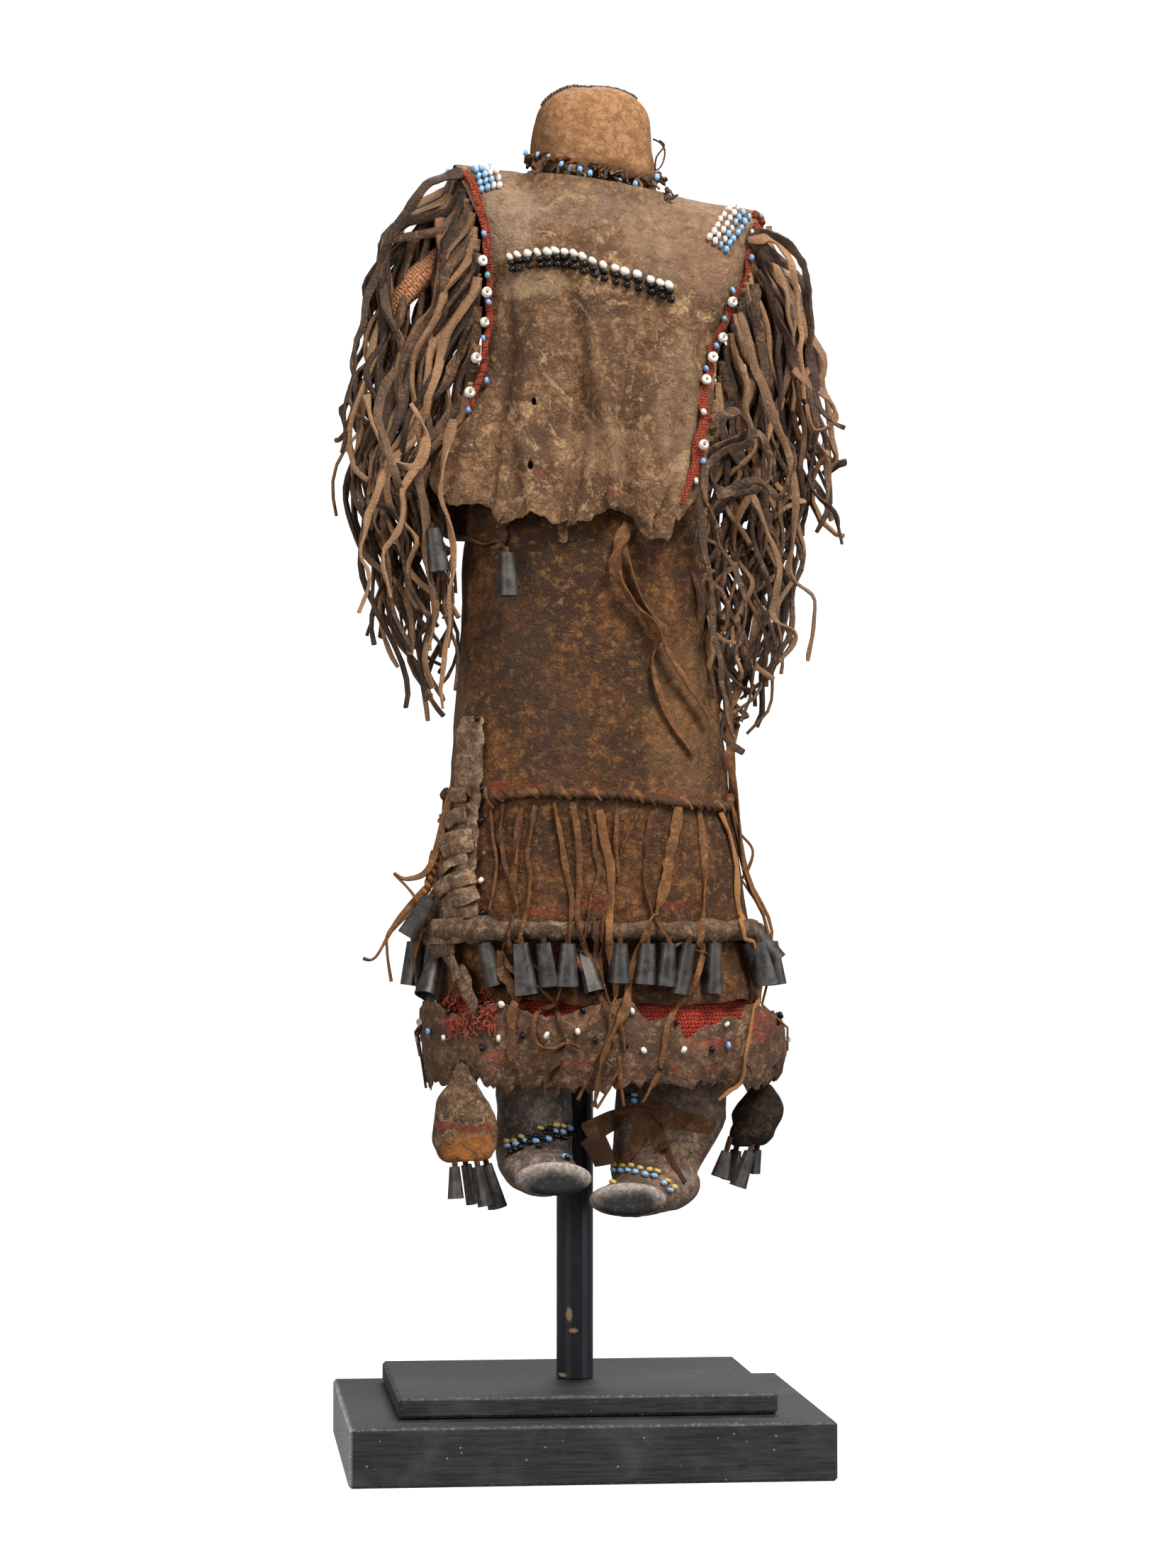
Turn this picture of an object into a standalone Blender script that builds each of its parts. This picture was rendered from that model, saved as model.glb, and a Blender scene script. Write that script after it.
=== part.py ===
"""Beaded hide doll: a stuffed hide figure in a fringed cape and a two-tier skirt, on a rod and a stepped base.

Metres, +Z up. The origin is the middle of the base's underside, and the doll looks along -Y.
The doll is a free form, so its outlines are written in UNIT, one part in 307 of its height.
"""

import math

import bmesh
import bpy
from mathutils import Matrix, Vector

# Stand
BLOCK_WIDTH = 0.127
BLOCK_DEPTH = 0.102
BLOCK_HEIGHT = 0.0155
PLINTH_WIDTH = 0.100
PLINTH_DEPTH = 0.080
PLINTH_HEIGHT = 0.0055
PLINTH_BACK = 0.003
STAND_BEVEL = 0.0008
ROD_DIAMETER = 0.010
ROD_SHOWN = 0.045

# Doll
DOLL_HEIGHT = 0.307
HIDE = 0.0010
CLOTH = 0.0008
STRIP_WIDTH = 0.0034
TIE_WIDTH = 0.0050
TRIM_WIDTH = 0.0034
TRIM_THICKNESS = 0.0012
SEED_BEAD = 0.0019
YOKE = 0.0020
UPPER_WELT = 0.0028
LOWER_WELT = 0.0042
CONE_LENGTH = 0.0115
CONE_MOUTH = 0.0058
CONE_NECK = 0.0038
CONE_WALL = 0.0004
SKIRT_STEM = 0.0036
SHORT_STEM = 0.0008
GAP = 0.0003
STUFFING_EASE = 0.0014

UNIT = DOLL_HEIGHT / 307
FEET_Z = BLOCK_HEIGHT + PLINTH_HEIGHT + ROD_SHOWN + 2 * GAP

# The doll's right shoulder, seen on the viewer's left, is the higher one
MIDLINE = 5
SLUMP = 0.14

# Outlines, as rows of: height, left, right, front, back
CLOTHED = (
    (35, -40, 54, 33.5, 31),
    (41, -42.5, 58.4, 35, 32),
    (47, -43, 58, 35, 32),
    (55, -42.5, 55, 33.5, 30.5),
    (62, -41, 51, 31, 28.8),
    (79, -38.8, 48, 28.3, 26.8),
    (98, -36.2, 44.8, 25.3, 24.5),
    (118, -34, 40.6, 23, 22.5),
    (137, -32.7, 38.6, 21.8, 21.3),
    (176, -30.8, 38.8, 21.3, 20.8),
    (198, -29.5, 36.8, 20.8, 20.3),
    (225, -25.3, 32.3, 19.8, 19.3),
    (245, -24.2, 35.5, 18.6, 18.2),
    (260, -25.2, 40.5, 16.4, 16),
    (270, -27.5, 42.5, 13.5, 13),
    (276, -22, 35, 9.5, 9.5),
    (279.5, -13, 24, 10, 10),
)
HEAD = (
    (280, -13, 23.6, 12, 12),
    (288, -12.5, 22.2, 12.3, 12.3),
    (295, -12, 21.6, 12.4, 12.4),
    (301, -10.8, 20, 11.4, 11.4),
    (304.8, -7.4, 16.4, 8.8, 8.8),
    (306.9, -2, 11, 4.5, 4.5),
)
# Rows of: height, left edge, right edge, depth of the panel
CAPE = (
    (178, -38, 22, 26),
    (188, -41, 26, 25.5),
    (196, -43.5, 29, 25),
    (205, -38, 31, 24.5),
    (215, -30, 31.5, 23.8),
    (228, -26.5, 31, 23),
    (240, -25, 35, 22),
    (252, -25.6, 40.5, 20.6),
    (262, -27, 45, 18.6),
    (271, -30, 47.5, 15.4),
    (277, -33, 48.5, 11.5),
)
CAPE_RIDGE = 281.5
# The torn front hem, as share of the width and height, from the viewer's left
FRONT_HEM = (
    (0.00, 196), (0.09, 189), (0.20, 190), (0.27, 187), (0.31, 180), (0.35, 186), (0.45, 186.5),
    (0.55, 182.5), (0.65, 186), (0.74, 189), (0.82, 186), (0.88, 180), (0.94, 178.5), (1.00, 187),
)
BACK_HEM = ((0.0, 190), (0.2, 184), (0.4, 187), (0.6, 181), (0.8, 186), (1.0, 184))

# Columns and rows of the cape's sheet, and the columns that the neck opening spans
CAPE_SHARES = (0, 0.09, 0.15, 0.215, 0.294, 0.373, 0.452, 0.531, 0.61, 0.69, 0.76, 0.82, 0.88, 0.94, 1)
CAPE_LEVELS = (0, 0.14, 0.36, 0.56, 0.75, 0.90, 1)
NECK_COLUMNS = (3, 9)

POWER = 2.4
# How wide a thong or a strip is at its tip, against its root
STRIP_TAPER = 0.6
SKIRT_TOP = 198
SKIRT_BOTTOM = 77
# Under the lower welt the skirt runs on, tucked in behind the tin cones
SKIRT_HEM = 57
SKIRT_TUCK = -1.9
BODY_BOTTOM = 50
UPPER_WELT_HEIGHT = 113
LOWER_WELT_HEIGHT = 79
FLAP_FROM, FLAP_TO = -1.20, -0.72

# Rows of: height, distance of the hanging thongs from the clothed outline
THONG_DRAPE = ((30, 3.0), (50, 4.6), (60, 7.2), (70, 7.7), (79, 7.0), (88, 4.6), (98, 2.6), (113, 1.6))
# How far out of the skirt the tin cones hang
CONES_OUT = 3.2

# Tin cones along the skirt: where each hangs, and its lean in degrees
CONE_TURNS = (-1.72, -1.37, -0.72, -0.44, -0.29, -0.13, 0.06, 0.18, 0.31, 0.46, 0.64, 1.02, 1.34)
CONE_TILTS = (6, 12, -4, -3, 3, -2, 2, -1, 3, 5, -5, -14, -10)

# Points in UNIT: leggings, instep and toe of the boots, then the hanging pouches
BOOT_LEFT = dict(top=(-12.8, -11), ankle=(-12.2, -12), toe=(-9.2, -33), width=10.4, floor=6.2)
BOOT_RIGHT = dict(top=(24, -7), ankle=(20.5, -10), toe=(10.5, -33), width=11.8, floor=0.6)
POUCH_CONES_APART = 5.4
POUCH_LEFT = dict(top=(-33, -26.2, 41), bottom=(-31.5, -26.6, 15.5), width=9.2, depth=5.2)
POUCH_PROFILE = ((0, 0.14), (0.12, 0.30), (0.3, 0.62), (0.55, 1.0), (0.8, 0.98), (0.93, 0.85), (1, 0.72))
POUCH_RIGHT = dict(top=(52.5, -6, 32.4), bottom=(46.5, -6, 17.5), width=6.8, depth=5.0)


def clear_scene():
    for obj in list(bpy.data.objects):
        bpy.data.objects.remove(obj)


def finish(name, colour, roughness, metallic=0.0):
    material = bpy.data.materials.new(name)
    material.use_nodes = True
    shader = material.node_tree.nodes["Principled BSDF"]
    shader.inputs["Base Color"].default_value = (*colour, 1)
    shader.inputs["Roughness"].default_value = roughness
    shader.inputs["Metallic"].default_value = metallic
    material.diffuse_color = (*colour, 1)
    return material


def make_finishes():
    return {
        "black wood": finish("black painted wood", (0.030, 0.030, 0.032), 0.55),
        "black steel": finish("black painted steel", (0.010, 0.010, 0.014), 0.35),
        "tan hide": finish("tan hide", (0.36, 0.20, 0.10), 0.85),
        "cape hide": finish("smoked cape hide", (0.17, 0.10, 0.055), 0.85),
        "skirt hide": finish("dark skirt hide", (0.10, 0.055, 0.03), 0.8),
        "strip hide": finish("fringe hide", (0.15, 0.08, 0.045), 0.75),
        "boot hide": finish("boot hide", (0.05, 0.03, 0.022), 0.7),
        "red cloth": finish("red cloth", (0.28, 0.045, 0.03), 0.95),
        "knit": finish("knitted arm cloth", (0.26, 0.10, 0.06), 0.95),
        "bead glass": finish("bead glass", (0.60, 0.62, 0.62), 0.25),
        "tin": finish("dark tin", (0.10, 0.09, 0.085), 0.4, 0.9),
    }


def add_object(name, mesh, material, parent=None, smooth_angle=50):
    """Turns a bmesh into a named object, with its faces turned outwards."""
    bmesh.ops.recalc_face_normals(mesh, faces=mesh.faces)
    data = bpy.data.meshes.new(name)
    mesh.to_mesh(data)
    mesh.free()
    data.shade_smooth()
    data.set_sharp_from_angle(angle=math.radians(smooth_angle))
    data.materials.append(material)
    obj = bpy.data.objects.new(name, data)
    obj.parent = parent
    bpy.context.collection.objects.link(obj)
    return obj


def thicken(obj, thickness):
    """Gives an open sheet its thickness on the inner side."""
    wall = obj.modifiers.new("thickness", "SOLIDIFY")
    wall.thickness = thickness
    wall.offset = -1


# Curves and sections


def along(profile, height):
    """A profile's values at a height, on a smooth curve through its rows."""
    last = len(profile) - 1
    height = min(max(height, profile[0][0]), profile[last][0])
    i = max(k for k in range(last) if profile[k][0] <= height)
    before, here, after, beyond = (profile[min(max(i + k, 0), last)] for k in (-1, 0, 1, 2))
    span = after[0] - here[0]
    t = (height - here[0]) / span
    values = []
    for k in range(1, len(here)):
        leave = (after[k] - before[k]) / (after[0] - before[0]) * span
        arrive = (beyond[k] - here[k]) / (beyond[0] - here[0]) * span
        rise = (3 - 2 * t) * t * t
        value = here[k] * (1 - rise) + after[k] * rise
        value += leave * t * (1 - t) ** 2 - arrive * t * t * (1 - t)
        values.append(value)
    return values


def ease(value, start, end):
    """0 before start, 1 after end, and smooth between them."""
    t = min(max((value - start) / (end - start), 0), 1)
    return t * t * (3 - 2 * t)


def slump(x, height):
    """How far a point lies above its level, because the shoulders slope."""
    share = ease(height, 215, 255) * (1 - ease(height, 284, 300))
    return -SLUMP * (x - MIDLINE * UNIT) * share


def skin(profile, height, turn, offset=0.0, power=POWER):
    """A point of an outline's surface. Turn 0 is the front, and a quarter turn is +X."""
    left, right, front, back = (UNIT * value for value in along(profile, height))
    across, deep = math.sin(turn), -math.cos(turn)
    depth = front if deep < 0 else back
    x = (left + right) / 2
    x += ((right - left) / 2 + offset) * math.copysign(abs(across) ** (2 / power), across)
    y = (depth + offset) * math.copysign(abs(deep) ** (2 / power), deep)
    return Vector((x, y, height * UNIT + slump(x, height)))


def turns(count, start=0.0, end=math.tau):
    return [start + (end - start) * i / count for i in range(count)]


def cape_point(share, height, face, offset=0.0):
    """A point of the cape's panel, at a share of its width. Face is -1 in front and 1 behind."""
    left, right, depth = along(CAPE, height)
    x = left + (right - left) * share
    reach = max(MIDLINE - left, right - MIDLINE) / 0.93
    bow = (1 - (abs(x - MIDLINE) / reach) ** 2.6) ** (1 / 2.6)
    x *= UNIT
    return Vector((x, face * (depth * UNIT + offset) * bow, height * UNIT + slump(x, height)))


def bezier(start, first, second, end, steps):
    """Points along one cubic curve."""
    points = []
    for i in range(steps + 1):
        t = i / steps
        weights = ((1 - t) ** 3, 3 * t * (1 - t) ** 2, 3 * t * t * (1 - t), t**3)
        points.append(sum((w * p for w, p in zip(weights, (start, first, second, end))), Vector()))
    return points


def tangents(path):
    last = len(path) - 1
    return [(path[min(i + 1, last)] - path[max(i - 1, 0)]).normalized() for i in range(last + 1)]


# Solids


def skin_over(rings, closed=False):
    """A closed skin through rings of points. Its ends are closed by fans, or joined to each other."""
    mesh = bmesh.new()
    loops = [[mesh.verts.new(point) for point in ring] for ring in rings]
    pairs = list(zip(loops, loops[1:]))
    if closed:
        pairs.append((loops[-1], loops[0]))
    for one, other in pairs:
        for i, point in enumerate(one):
            j = (i + 1) % len(one)
            mesh.faces.new((point, one[j], other[j], other[i]))
    if not closed:
        for loop in (loops[0], loops[-1]):
            if len(loop) == 4:
                mesh.faces.new(loop)
                continue
            middle = mesh.verts.new(sum((v.co for v in loop), Vector()) / len(loop))
            for i, point in enumerate(loop):
                mesh.faces.new((point, loop[(i + 1) % len(loop)], middle))
    return mesh


def sheet(rows, wrap=False, hole=None):
    """An open sheet over rows of points. A point that is None, and a cell that hole names, stay open."""
    mesh = bmesh.new()
    grid = [[mesh.verts.new(point) if point else None for point in row] for row in rows]
    count = len(rows[0])
    for r in range(len(rows) - 1):
        for c in range(count if wrap else count - 1):
            d = (c + 1) % count
            corners = (grid[r][c], grid[r][d], grid[r + 1][d], grid[r + 1][c])
            if None in corners or (hole and hole(r, c)):
                continue
            mesh.faces.new(corners)
    return mesh


def band(path, facings, width, thickness):
    """Four-cornered sections along a path. Each facing is the way that the band's flat side looks."""
    rings = []
    for i, (point, ahead, facing) in enumerate(zip(path, tangents(path), facings)):
        wide = width[i] if isinstance(width, list) else width
        side = ahead.cross(facing).normalized() * wide / 2
        out = side.cross(ahead).normalized() * thickness / 2
        if out.dot(facing) < 0:
            out = -out
        rings.append([point - side - out, point + side - out, point + side + out, point - side + out])
    return rings


def draw_out(mesh, face, path, taper):
    """Draws a tail out of a face along a path, narrower by taper at its end."""
    ahead = [face.normal.copy(), *tangents(path)[1:]]
    step = taper ** (1 / (len(path) - 1))
    for i in range(1, len(path)):
        face = bmesh.ops.extrude_discrete_faces(mesh, faces=[face])["faces"][0]
        turn = ahead[i - 1].rotation_difference(ahead[i]).to_matrix().to_4x4()
        place = Matrix.Translation(path[i]) @ turn @ Matrix.Scale(step, 4)
        move = place @ Matrix.Translation(-path[i - 1])
        bmesh.ops.transform(mesh, matrix=move, verts=face.verts)


def comb(rings, tails, side, taper):
    """A bar over four-cornered rings, with tails drawn out of faces of one side, each along its path."""
    mesh = skin_over(rings)
    mesh.normal_update()
    mesh.faces.ensure_lookup_table()
    roots = {i: mesh.faces[4 * i + side] for i in tails}
    for i, make_path in tails.items():
        root = roots[i]
        middle = root.calc_center_median()
        if root.normal.dot(middle - (rings[i][(side + 2) % 4] + rings[i][(side + 3) % 4]) / 2) < 0:
            root.normal_flip()
        draw_out(mesh, root, make_path(middle), taper)
    return mesh


def bead_cloth(rows, bead):
    """A thin backing under a grid of points, with one bead raised on each cell."""
    mesh = sheet(rows)
    bmesh.ops.recalc_face_normals(mesh, faces=mesh.faces)
    if sum(face.normal.y for face in mesh.faces) > 0:
        bmesh.ops.reverse_faces(mesh, faces=mesh.faces)
    backing = list(mesh.faces)
    grown = bmesh.ops.extrude_face_region(mesh, geom=backing, use_keep_orig=True)["geom"]
    fronts = [item for item in grown if isinstance(item, bmesh.types.BMFace)]
    for vert in {vert for face in fronts for vert in face.verts}:
        vert.co += vert.normal * GAP
    mesh.normal_update()
    bmesh.ops.inset_individual(mesh, faces=fronts, thickness=bead * 0.2, depth=bead * 0.6)
    return mesh


# Stand


def make_slab(name, width, depth, height, base_z, material, shift=0.0):
    mesh = bmesh.new()
    bmesh.ops.create_cube(mesh, size=1, matrix=Matrix.Diagonal((width, depth, height, 1)))
    slab = add_object(name, mesh, material, smooth_angle=30)
    slab.location = (0, shift, base_z + height / 2)
    edge = slab.modifiers.new("worn edges", "BEVEL")
    edge.width = STAND_BEVEL
    edge.segments = 1
    return slab


def make_stand(finishes):
    make_slab("base_block", BLOCK_WIDTH, BLOCK_DEPTH, BLOCK_HEIGHT, 0, finishes["black wood"])
    plinth_z = BLOCK_HEIGHT + GAP
    make_slab(
        "base_plinth", PLINTH_WIDTH, PLINTH_DEPTH, PLINTH_HEIGHT, plinth_z, finishes["black wood"], PLINTH_BACK
    )
    rod_foot = plinth_z + PLINTH_HEIGHT + GAP
    rod_top = FEET_Z + BODY_BOTTOM * UNIT - GAP
    mesh = bmesh.new()
    radius = ROD_DIAMETER / 2
    bmesh.ops.create_cone(
        mesh, cap_ends=True, segments=20, radius1=radius, radius2=radius, depth=rod_top - rod_foot
    )
    rod = add_object("support_rod", mesh, finishes["black steel"])
    rod.location.z = (rod_foot + rod_top) / 2


# Figure


def make_body(finishes, doll):
    """Head, neck and trunk. Under the skirt's end the trunk draws in towards the legs."""
    rings = []
    for height in (BODY_BOTTOM, SKIRT_BOTTOM, 98, 118, 145, 180, 204, 225, 245, 258, 270, 279.5):
        inset = HIDE + STUFFING_EASE + max(LOWER_WELT_HEIGHT + 6 - height, 0) * 0.5 * UNIT
        rings.append([skin(CLOTHED, height, turn, -inset) for turn in turns(18)])
    for height in (283, 289, 295.5, 300.5, 304.4, 306.7):
        rings.append([skin(HEAD, height, turn, power=2.6) for turn in turns(18)])
    add_object("stuffed_body", skin_over(rings), finishes["tan hide"], doll)


def cape_rows(face):
    """The points of the cape's front or back panel, from its hem to the neck and shoulders."""
    hem = FRONT_HEM if face < 0 else BACK_HEM
    top = CAPE[-1][0]
    rows = []
    for level in CAPE_LEVELS:
        lows = [along(hem, share)[0] for share in CAPE_SHARES]
        rows.append([cape_point(s, low + (top - low) * level, face) for s, low in zip(CAPE_SHARES, lows)])
    first, last = NECK_COLUMNS
    for c in range(first, last + 1):
        turn = (math.pi / 2) * (2 * (c - first) / (last - first) - 1) * 0.86
        rows[-1][c] = skin(HEAD, 280, turn if face < 0 else math.pi - turn, HIDE + 4 * GAP)
    return rows


def shoulder_point(share):
    """A point of the cape's ridge over the shoulders."""
    point = cape_point(share, CAPE[-1][0], -1)
    point.y = 0
    point.z += (CAPE_RIDGE - CAPE[-1][0]) * UNIT
    return point


def make_cape(finishes, doll):
    """One hide with a hole for the neck, open at the sides."""
    first, last = NECK_COLUMNS
    ridge = [shoulder_point(share) for share in CAPE_SHARES]
    ridge[first + 1 : last] = [None] * (last - first - 1)
    for c, side in ((first, -1), (last, 1)):
        ridge[c] = skin(HEAD, 281, side * math.pi / 2, HIDE + 4 * GAP)
    rows = cape_rows(-1) + [ridge] + cape_rows(1)[::-1]
    cape = add_object("cape", sheet(rows), finishes["cape hide"], doll)
    thicken(cape, HIDE)


def make_tier(name, levels, thickness, material, doll, columns=24, hem=None):
    """A tube of hide or cloth round the figure. Levels are rows of: height, offset from the clothed outline."""
    rows = []
    for r, (height, offset) in enumerate(levels):
        row = []
        for c, turn in enumerate(turns(columns)):
            level = height + (hem(r, turn) if hem else 0)
            row.append(skin(CLOTHED, level, turn, offset * UNIT))
        rows.append(row)
    tier = add_object(name, sheet(rows, wrap=True), material, doll)
    thicken(tier, thickness)


def underskirt_edge(r, turn):
    """Scallops along the top edge and a ragged hem."""
    if r == 0:
        return 2.8 * math.sin(9 * turn + 0.6)
    if r == 2:
        return 1.3 * math.sin(14 * turn) + 0.7 * math.sin(5 * turn)
    return 0


def make_skirts(finishes, doll):
    hide = finishes["skirt hide"]
    levels = [(height, 0) for height in (SKIRT_TOP, 170, 137, 112, 94, SKIRT_BOTTOM)]
    make_tier("skirt", levels + [(69, SKIRT_TUCK), (SKIRT_HEM, SKIRT_TUCK)], HIDE, hide, doll)
    make_tier("red_cloth_band", [(h, -3.8) for h in (73, 60, 45)], CLOTH, finishes["red cloth"], doll)
    make_tier("underskirt", [(h, 0) for h in (51.5, 43, 34.5)], HIDE, hide, doll, 36, underskirt_edge)


def make_flap(finishes, doll):
    """The overlap of the skirt at the viewer's left, gathered into tabs."""
    rows = []
    for i in range(9):
        height = 134 - 6.2 * i
        bulge = GAP + HIDE + (0.8 * UNIT if i % 2 else 0)
        rows.append([skin(CLOTHED, height, turn, bulge) for turn in turns(5, FLAP_FROM, FLAP_TO)])
    flap = add_object("skirt_side_flap", sheet(rows), finishes["skirt hide"], doll)
    thicken(flap, HIDE)


def make_welts(finishes, doll):
    """Two rolled seams round the skirt, the upper one with thongs."""
    rings = []
    for turn in turns(24):
        ring = []
        for rise, out in ((-0.5, 0), (-0.5, 0.7), (0, 1), (0.5, 0.7), (0.5, 0)):
            height = LOWER_WELT_HEIGHT + rise * LOWER_WELT / UNIT
            base = skin(CLOTHED, min(height, LOWER_WELT_HEIGHT), turn, 2 * GAP + out * LOWER_WELT)
            ring.append(Vector((base.x, base.y, height * UNIT)))
        rings.append(ring)
    add_object("skirt_welt_lower", skin_over(rings, closed=True), finishes["skirt hide"], doll)

    start, steps = FLAP_TO + 0.06, 34
    sweep = math.tau - (FLAP_TO - FLAP_FROM) - 0.12
    rings = []
    for i in range(steps + 1):
        turn = start + sweep * i / steps
        inner, outer = GAP, GAP + UPPER_WELT
        half = 0.5 * UPPER_WELT / UNIT
        corners = ((half, inner), (-half, inner), (-half, outer * 0.8), (half, outer))
        rings.append([skin(CLOTHED, UPPER_WELT_HEIGHT + up, turn, out) for up, out in corners])
    tails = {}
    for i in range(0, steps, 2):
        turn = start + sweep * (i + 0.5) / steps
        tails[i] = thong_path(turn, i)
    mesh = comb(rings, tails, 1, STRIP_TAPER)
    add_object("skirt_welt_upper", mesh, finishes["strip hide"], doll)


def thong_path(turn, i):
    """The way down of one thong: over the lower welt, past the tin cones, down the underskirt."""
    tip = (76, 92, 40, 58, 36, 84, 44, 38, 62, 34)[(i // 2) % 10]

    def make_path(root):
        path = [root]
        top = UPPER_WELT_HEIGHT - 6
        for step in range(6):
            height = top + (tip - top) * step / 5
            sway = 0.03 * math.sin(0.09 * (top - height) + i)
            path.append(skin(CLOTHED, height, turn + sway, along(THONG_DRAPE, height)[0] * UNIT))
        return path

    return make_path


# Fringes


def make_fringe(name, share, low, finishes, doll, tips):
    """Hide sewn to an armhole's edge and cut into strips, in front, over the shoulder and behind."""
    side = -1 if share == 0 else 1
    steps = 14
    column = 0 if share == 0 else -1
    edge = []
    for face in (-1, 1):
        line = [row[column] for row in cape_rows(face)]
        points = [climb(line, low + (CAPE[-1][0] - low) * i / steps) for i in range(steps + 1)]
        for point in points:
            point.y -= face * HIDE / 2
        edge += points if face < 0 else points[::-1]
    edge.insert(steps + 1, shoulder_point(share) - Vector((0, 0, HIDE / 2)))
    out = Vector((side, 0, 0))
    rings = []
    for i, point in enumerate(edge):
        before, after = edge[max(i - 1, 0)], edge[min(i + 1, len(edge) - 1)]
        normal = out.cross(after - before).normalized() * -side
        half = normal * HIDE / 2
        near, far = point + out * 2 * GAP, point + out * (2 * GAP + YOKE)
        rings.append([near - half, far - half, far + half, near + half])
    tails = {}
    count = len(rings) - 1
    for n, i in enumerate(range(0, count, 2)):
        around = (i + 0.5) / count
        front = 1 - abs(2 * around - 1)
        tails[i] = fringe_path(side, front, around, n, tips)
    return add_object(name, comb(rings, tails, 1, STRIP_TAPER), finishes["strip hide"], doll)


def climb(line, height):
    """The point of a rising line of points whose own height, before the slump, is this one."""
    level = height * UNIT
    for one, other in zip(line, line[1:]):
        low, high = (p.z - slump(p.x, height) for p in (one, other))
        if low <= level <= high or other is line[-1]:
            return one.lerp(other, min(max((level - low) / (high - low), 0), 1))


def fringe_path(side, rise, around, n, tips):
    """One strip: outwards from its root, then down. Strips with higher roots hang further out."""
    near, far, low, high = tips

    def make_path(root):
        reach = near + (far - near) * rise
        fall = low + (high - low) * rise**1.5 + 9 * math.sin(2.4 * n)
        layer = (1.8 if n % 2 else -1.8) * UNIT * (1 if around < 0.5 else -1)
        depth = 0.75 * root.y + layer if rise < 0.9 else root.y
        tip = Vector((side * reach * UNIT, depth, fall * UNIT))
        throw = abs(tip.x - root.x)
        first = root + Vector((side * (0.5 * throw + 3 * UNIT), depth - root.y, 2 * UNIT * rise))
        second = Vector((side * (reach + 2) * UNIT, depth, tip.z + 0.45 * (root.z - tip.z)))
        return bezier(root, first, second, tip, 5)

    return make_path


def make_arms(finishes, doll):
    """Short knitted arms with a tied end."""
    for name, points in (
        ("arm_left", ((-30, 0, 262), (-38, 0, 260), (-46, -1, 252), (-51, -1, 242))),
        ("arm_right", ((45, 0, 250), (52, 0, 248), (58, -1, 240), (62, -1, 230))),
    ):
        path = [Vector(point) * UNIT for point in points]
        fine = bezier(*path, 6)
        radii = (2.2, 3.8, 4.2, 4.2, 4.0, 3.0, 1.8)
        rings = []
        for point, ahead, radius in zip(fine, tangents(fine), radii):
            across = ahead.cross(Vector((0, 1, 0))).normalized()
            deep = ahead.cross(across).normalized()
            rings.append(
                [point + (across * math.cos(t) + deep * math.sin(t)) * radius * UNIT for t in turns(8)]
            )
        add_object(name, skin_over(rings), finishes["knit"], doll)


# Boots

def leg_point(boot, turn, height, offset=0.0):
    """A point of the legging, in UNIT before it is scaled, at a height above the soles."""
    share = (BODY_BOTTOM - height) / (BODY_BOTTOM - boot["floor"] - 19)
    x = boot["top"][0] + (boot["ankle"][0] - boot["top"][0]) * share
    y = boot["top"][1] + (boot["ankle"][1] - boot["top"][1]) * share
    x += (boot["width"] + offset) * math.sin(turn)
    y -= (9 + offset) * math.cos(turn)
    return Vector((x, y, height)) * UNIT


def toe_point(boot, turn, share, offset=0.0):
    """A point of the foot between the instep, at share 0, and the sole's tip, at share 1."""
    start_x, start_y = boot["ankle"][0], boot["ankle"][1] - 9
    x = start_x + (boot["toe"][0] - start_x) * share
    y = start_y + (boot["toe"][1] - start_y) * share
    half = 7 - 3 * share
    rise = boot["floor"] + half + (half + offset) * math.cos(turn)
    return Vector((x + (boot["width"] - 1.2 * share + offset) * math.sin(turn), y, rise)) * UNIT


def boot_rings(boot):
    """Level rings down the leg, then rings that fan round the instep to the toe."""
    floor = boot["floor"]
    rings = []
    for height in (BODY_BOTTOM - 1.5, 38, floor + 19):
        rings.append([leg_point(boot, turn, height) for turn in turns(14)])
    instep = Vector((boot["ankle"][0], boot["ankle"][1] - 9, floor + 14))
    for share, length in ((0.3, 20), (0.65, 16)):
        tilt = share * math.pi / 2
        down = Vector((0, math.cos(tilt), -math.sin(tilt)))
        middle = instep + down * length / 2
        ring = []
        for turn in turns(14):
            point = middle - down * math.cos(turn) * length / 2
            point.x += boot["width"] * math.sin(turn)
            point.z = max(point.z, floor)
            ring.append(point * UNIT)
        rings.append(ring)
    for share in (0.0, 0.5, 1.0):
        rings.append([toe_point(boot, turn, share) for turn in turns(14)])
    return rings


def make_boots(finishes, doll):
    for side, boot in (("left", BOOT_LEFT), ("right", BOOT_RIGHT)):
        add_object("boot_" + side, skin_over(boot_rings(boot)), finishes["boot hide"], doll)
        toe_x, toe_y = boot["toe"]
        rings = []
        for deep, grow, lift in ((0.0, 0.0, 0.0), (0.8, 0.7, 0.1), (3.0, 0.7, 0.8), (4.0, -0.4, 1.2)):
            ring = []
            for turn in turns(14):
                x = toe_x + (9.4 + grow) * math.sin(turn)
                z = boot["floor"] + 4.4 + lift + (3.9 + grow / 2) * math.cos(turn)
                ring.append(Vector((x * UNIT, (toe_y - deep) * UNIT - GAP, z * UNIT)))
            rings.append(ring)
        add_object("toe_sole_" + side, skin_over(rings), finishes["boot hide"], doll)


# Beadwork and braid


def panel_point(panel, share, height, lift):
    """A point of the cape's front as it is faceted, lifted along its level normal, and that normal."""
    c = max(k for k in range(len(CAPE_SHARES) - 1) if CAPE_SHARES[k] <= share)
    one, other = climb(panel[c], height), climb(panel[c + 1], height)
    across = other - one
    facing = Vector((across.y, -across.x, 0)).normalized()
    part = (share - CAPE_SHARES[c]) / (CAPE_SHARES[c + 1] - CAPE_SHARES[c])
    return one.lerp(other, part) + facing * lift, facing


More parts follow.
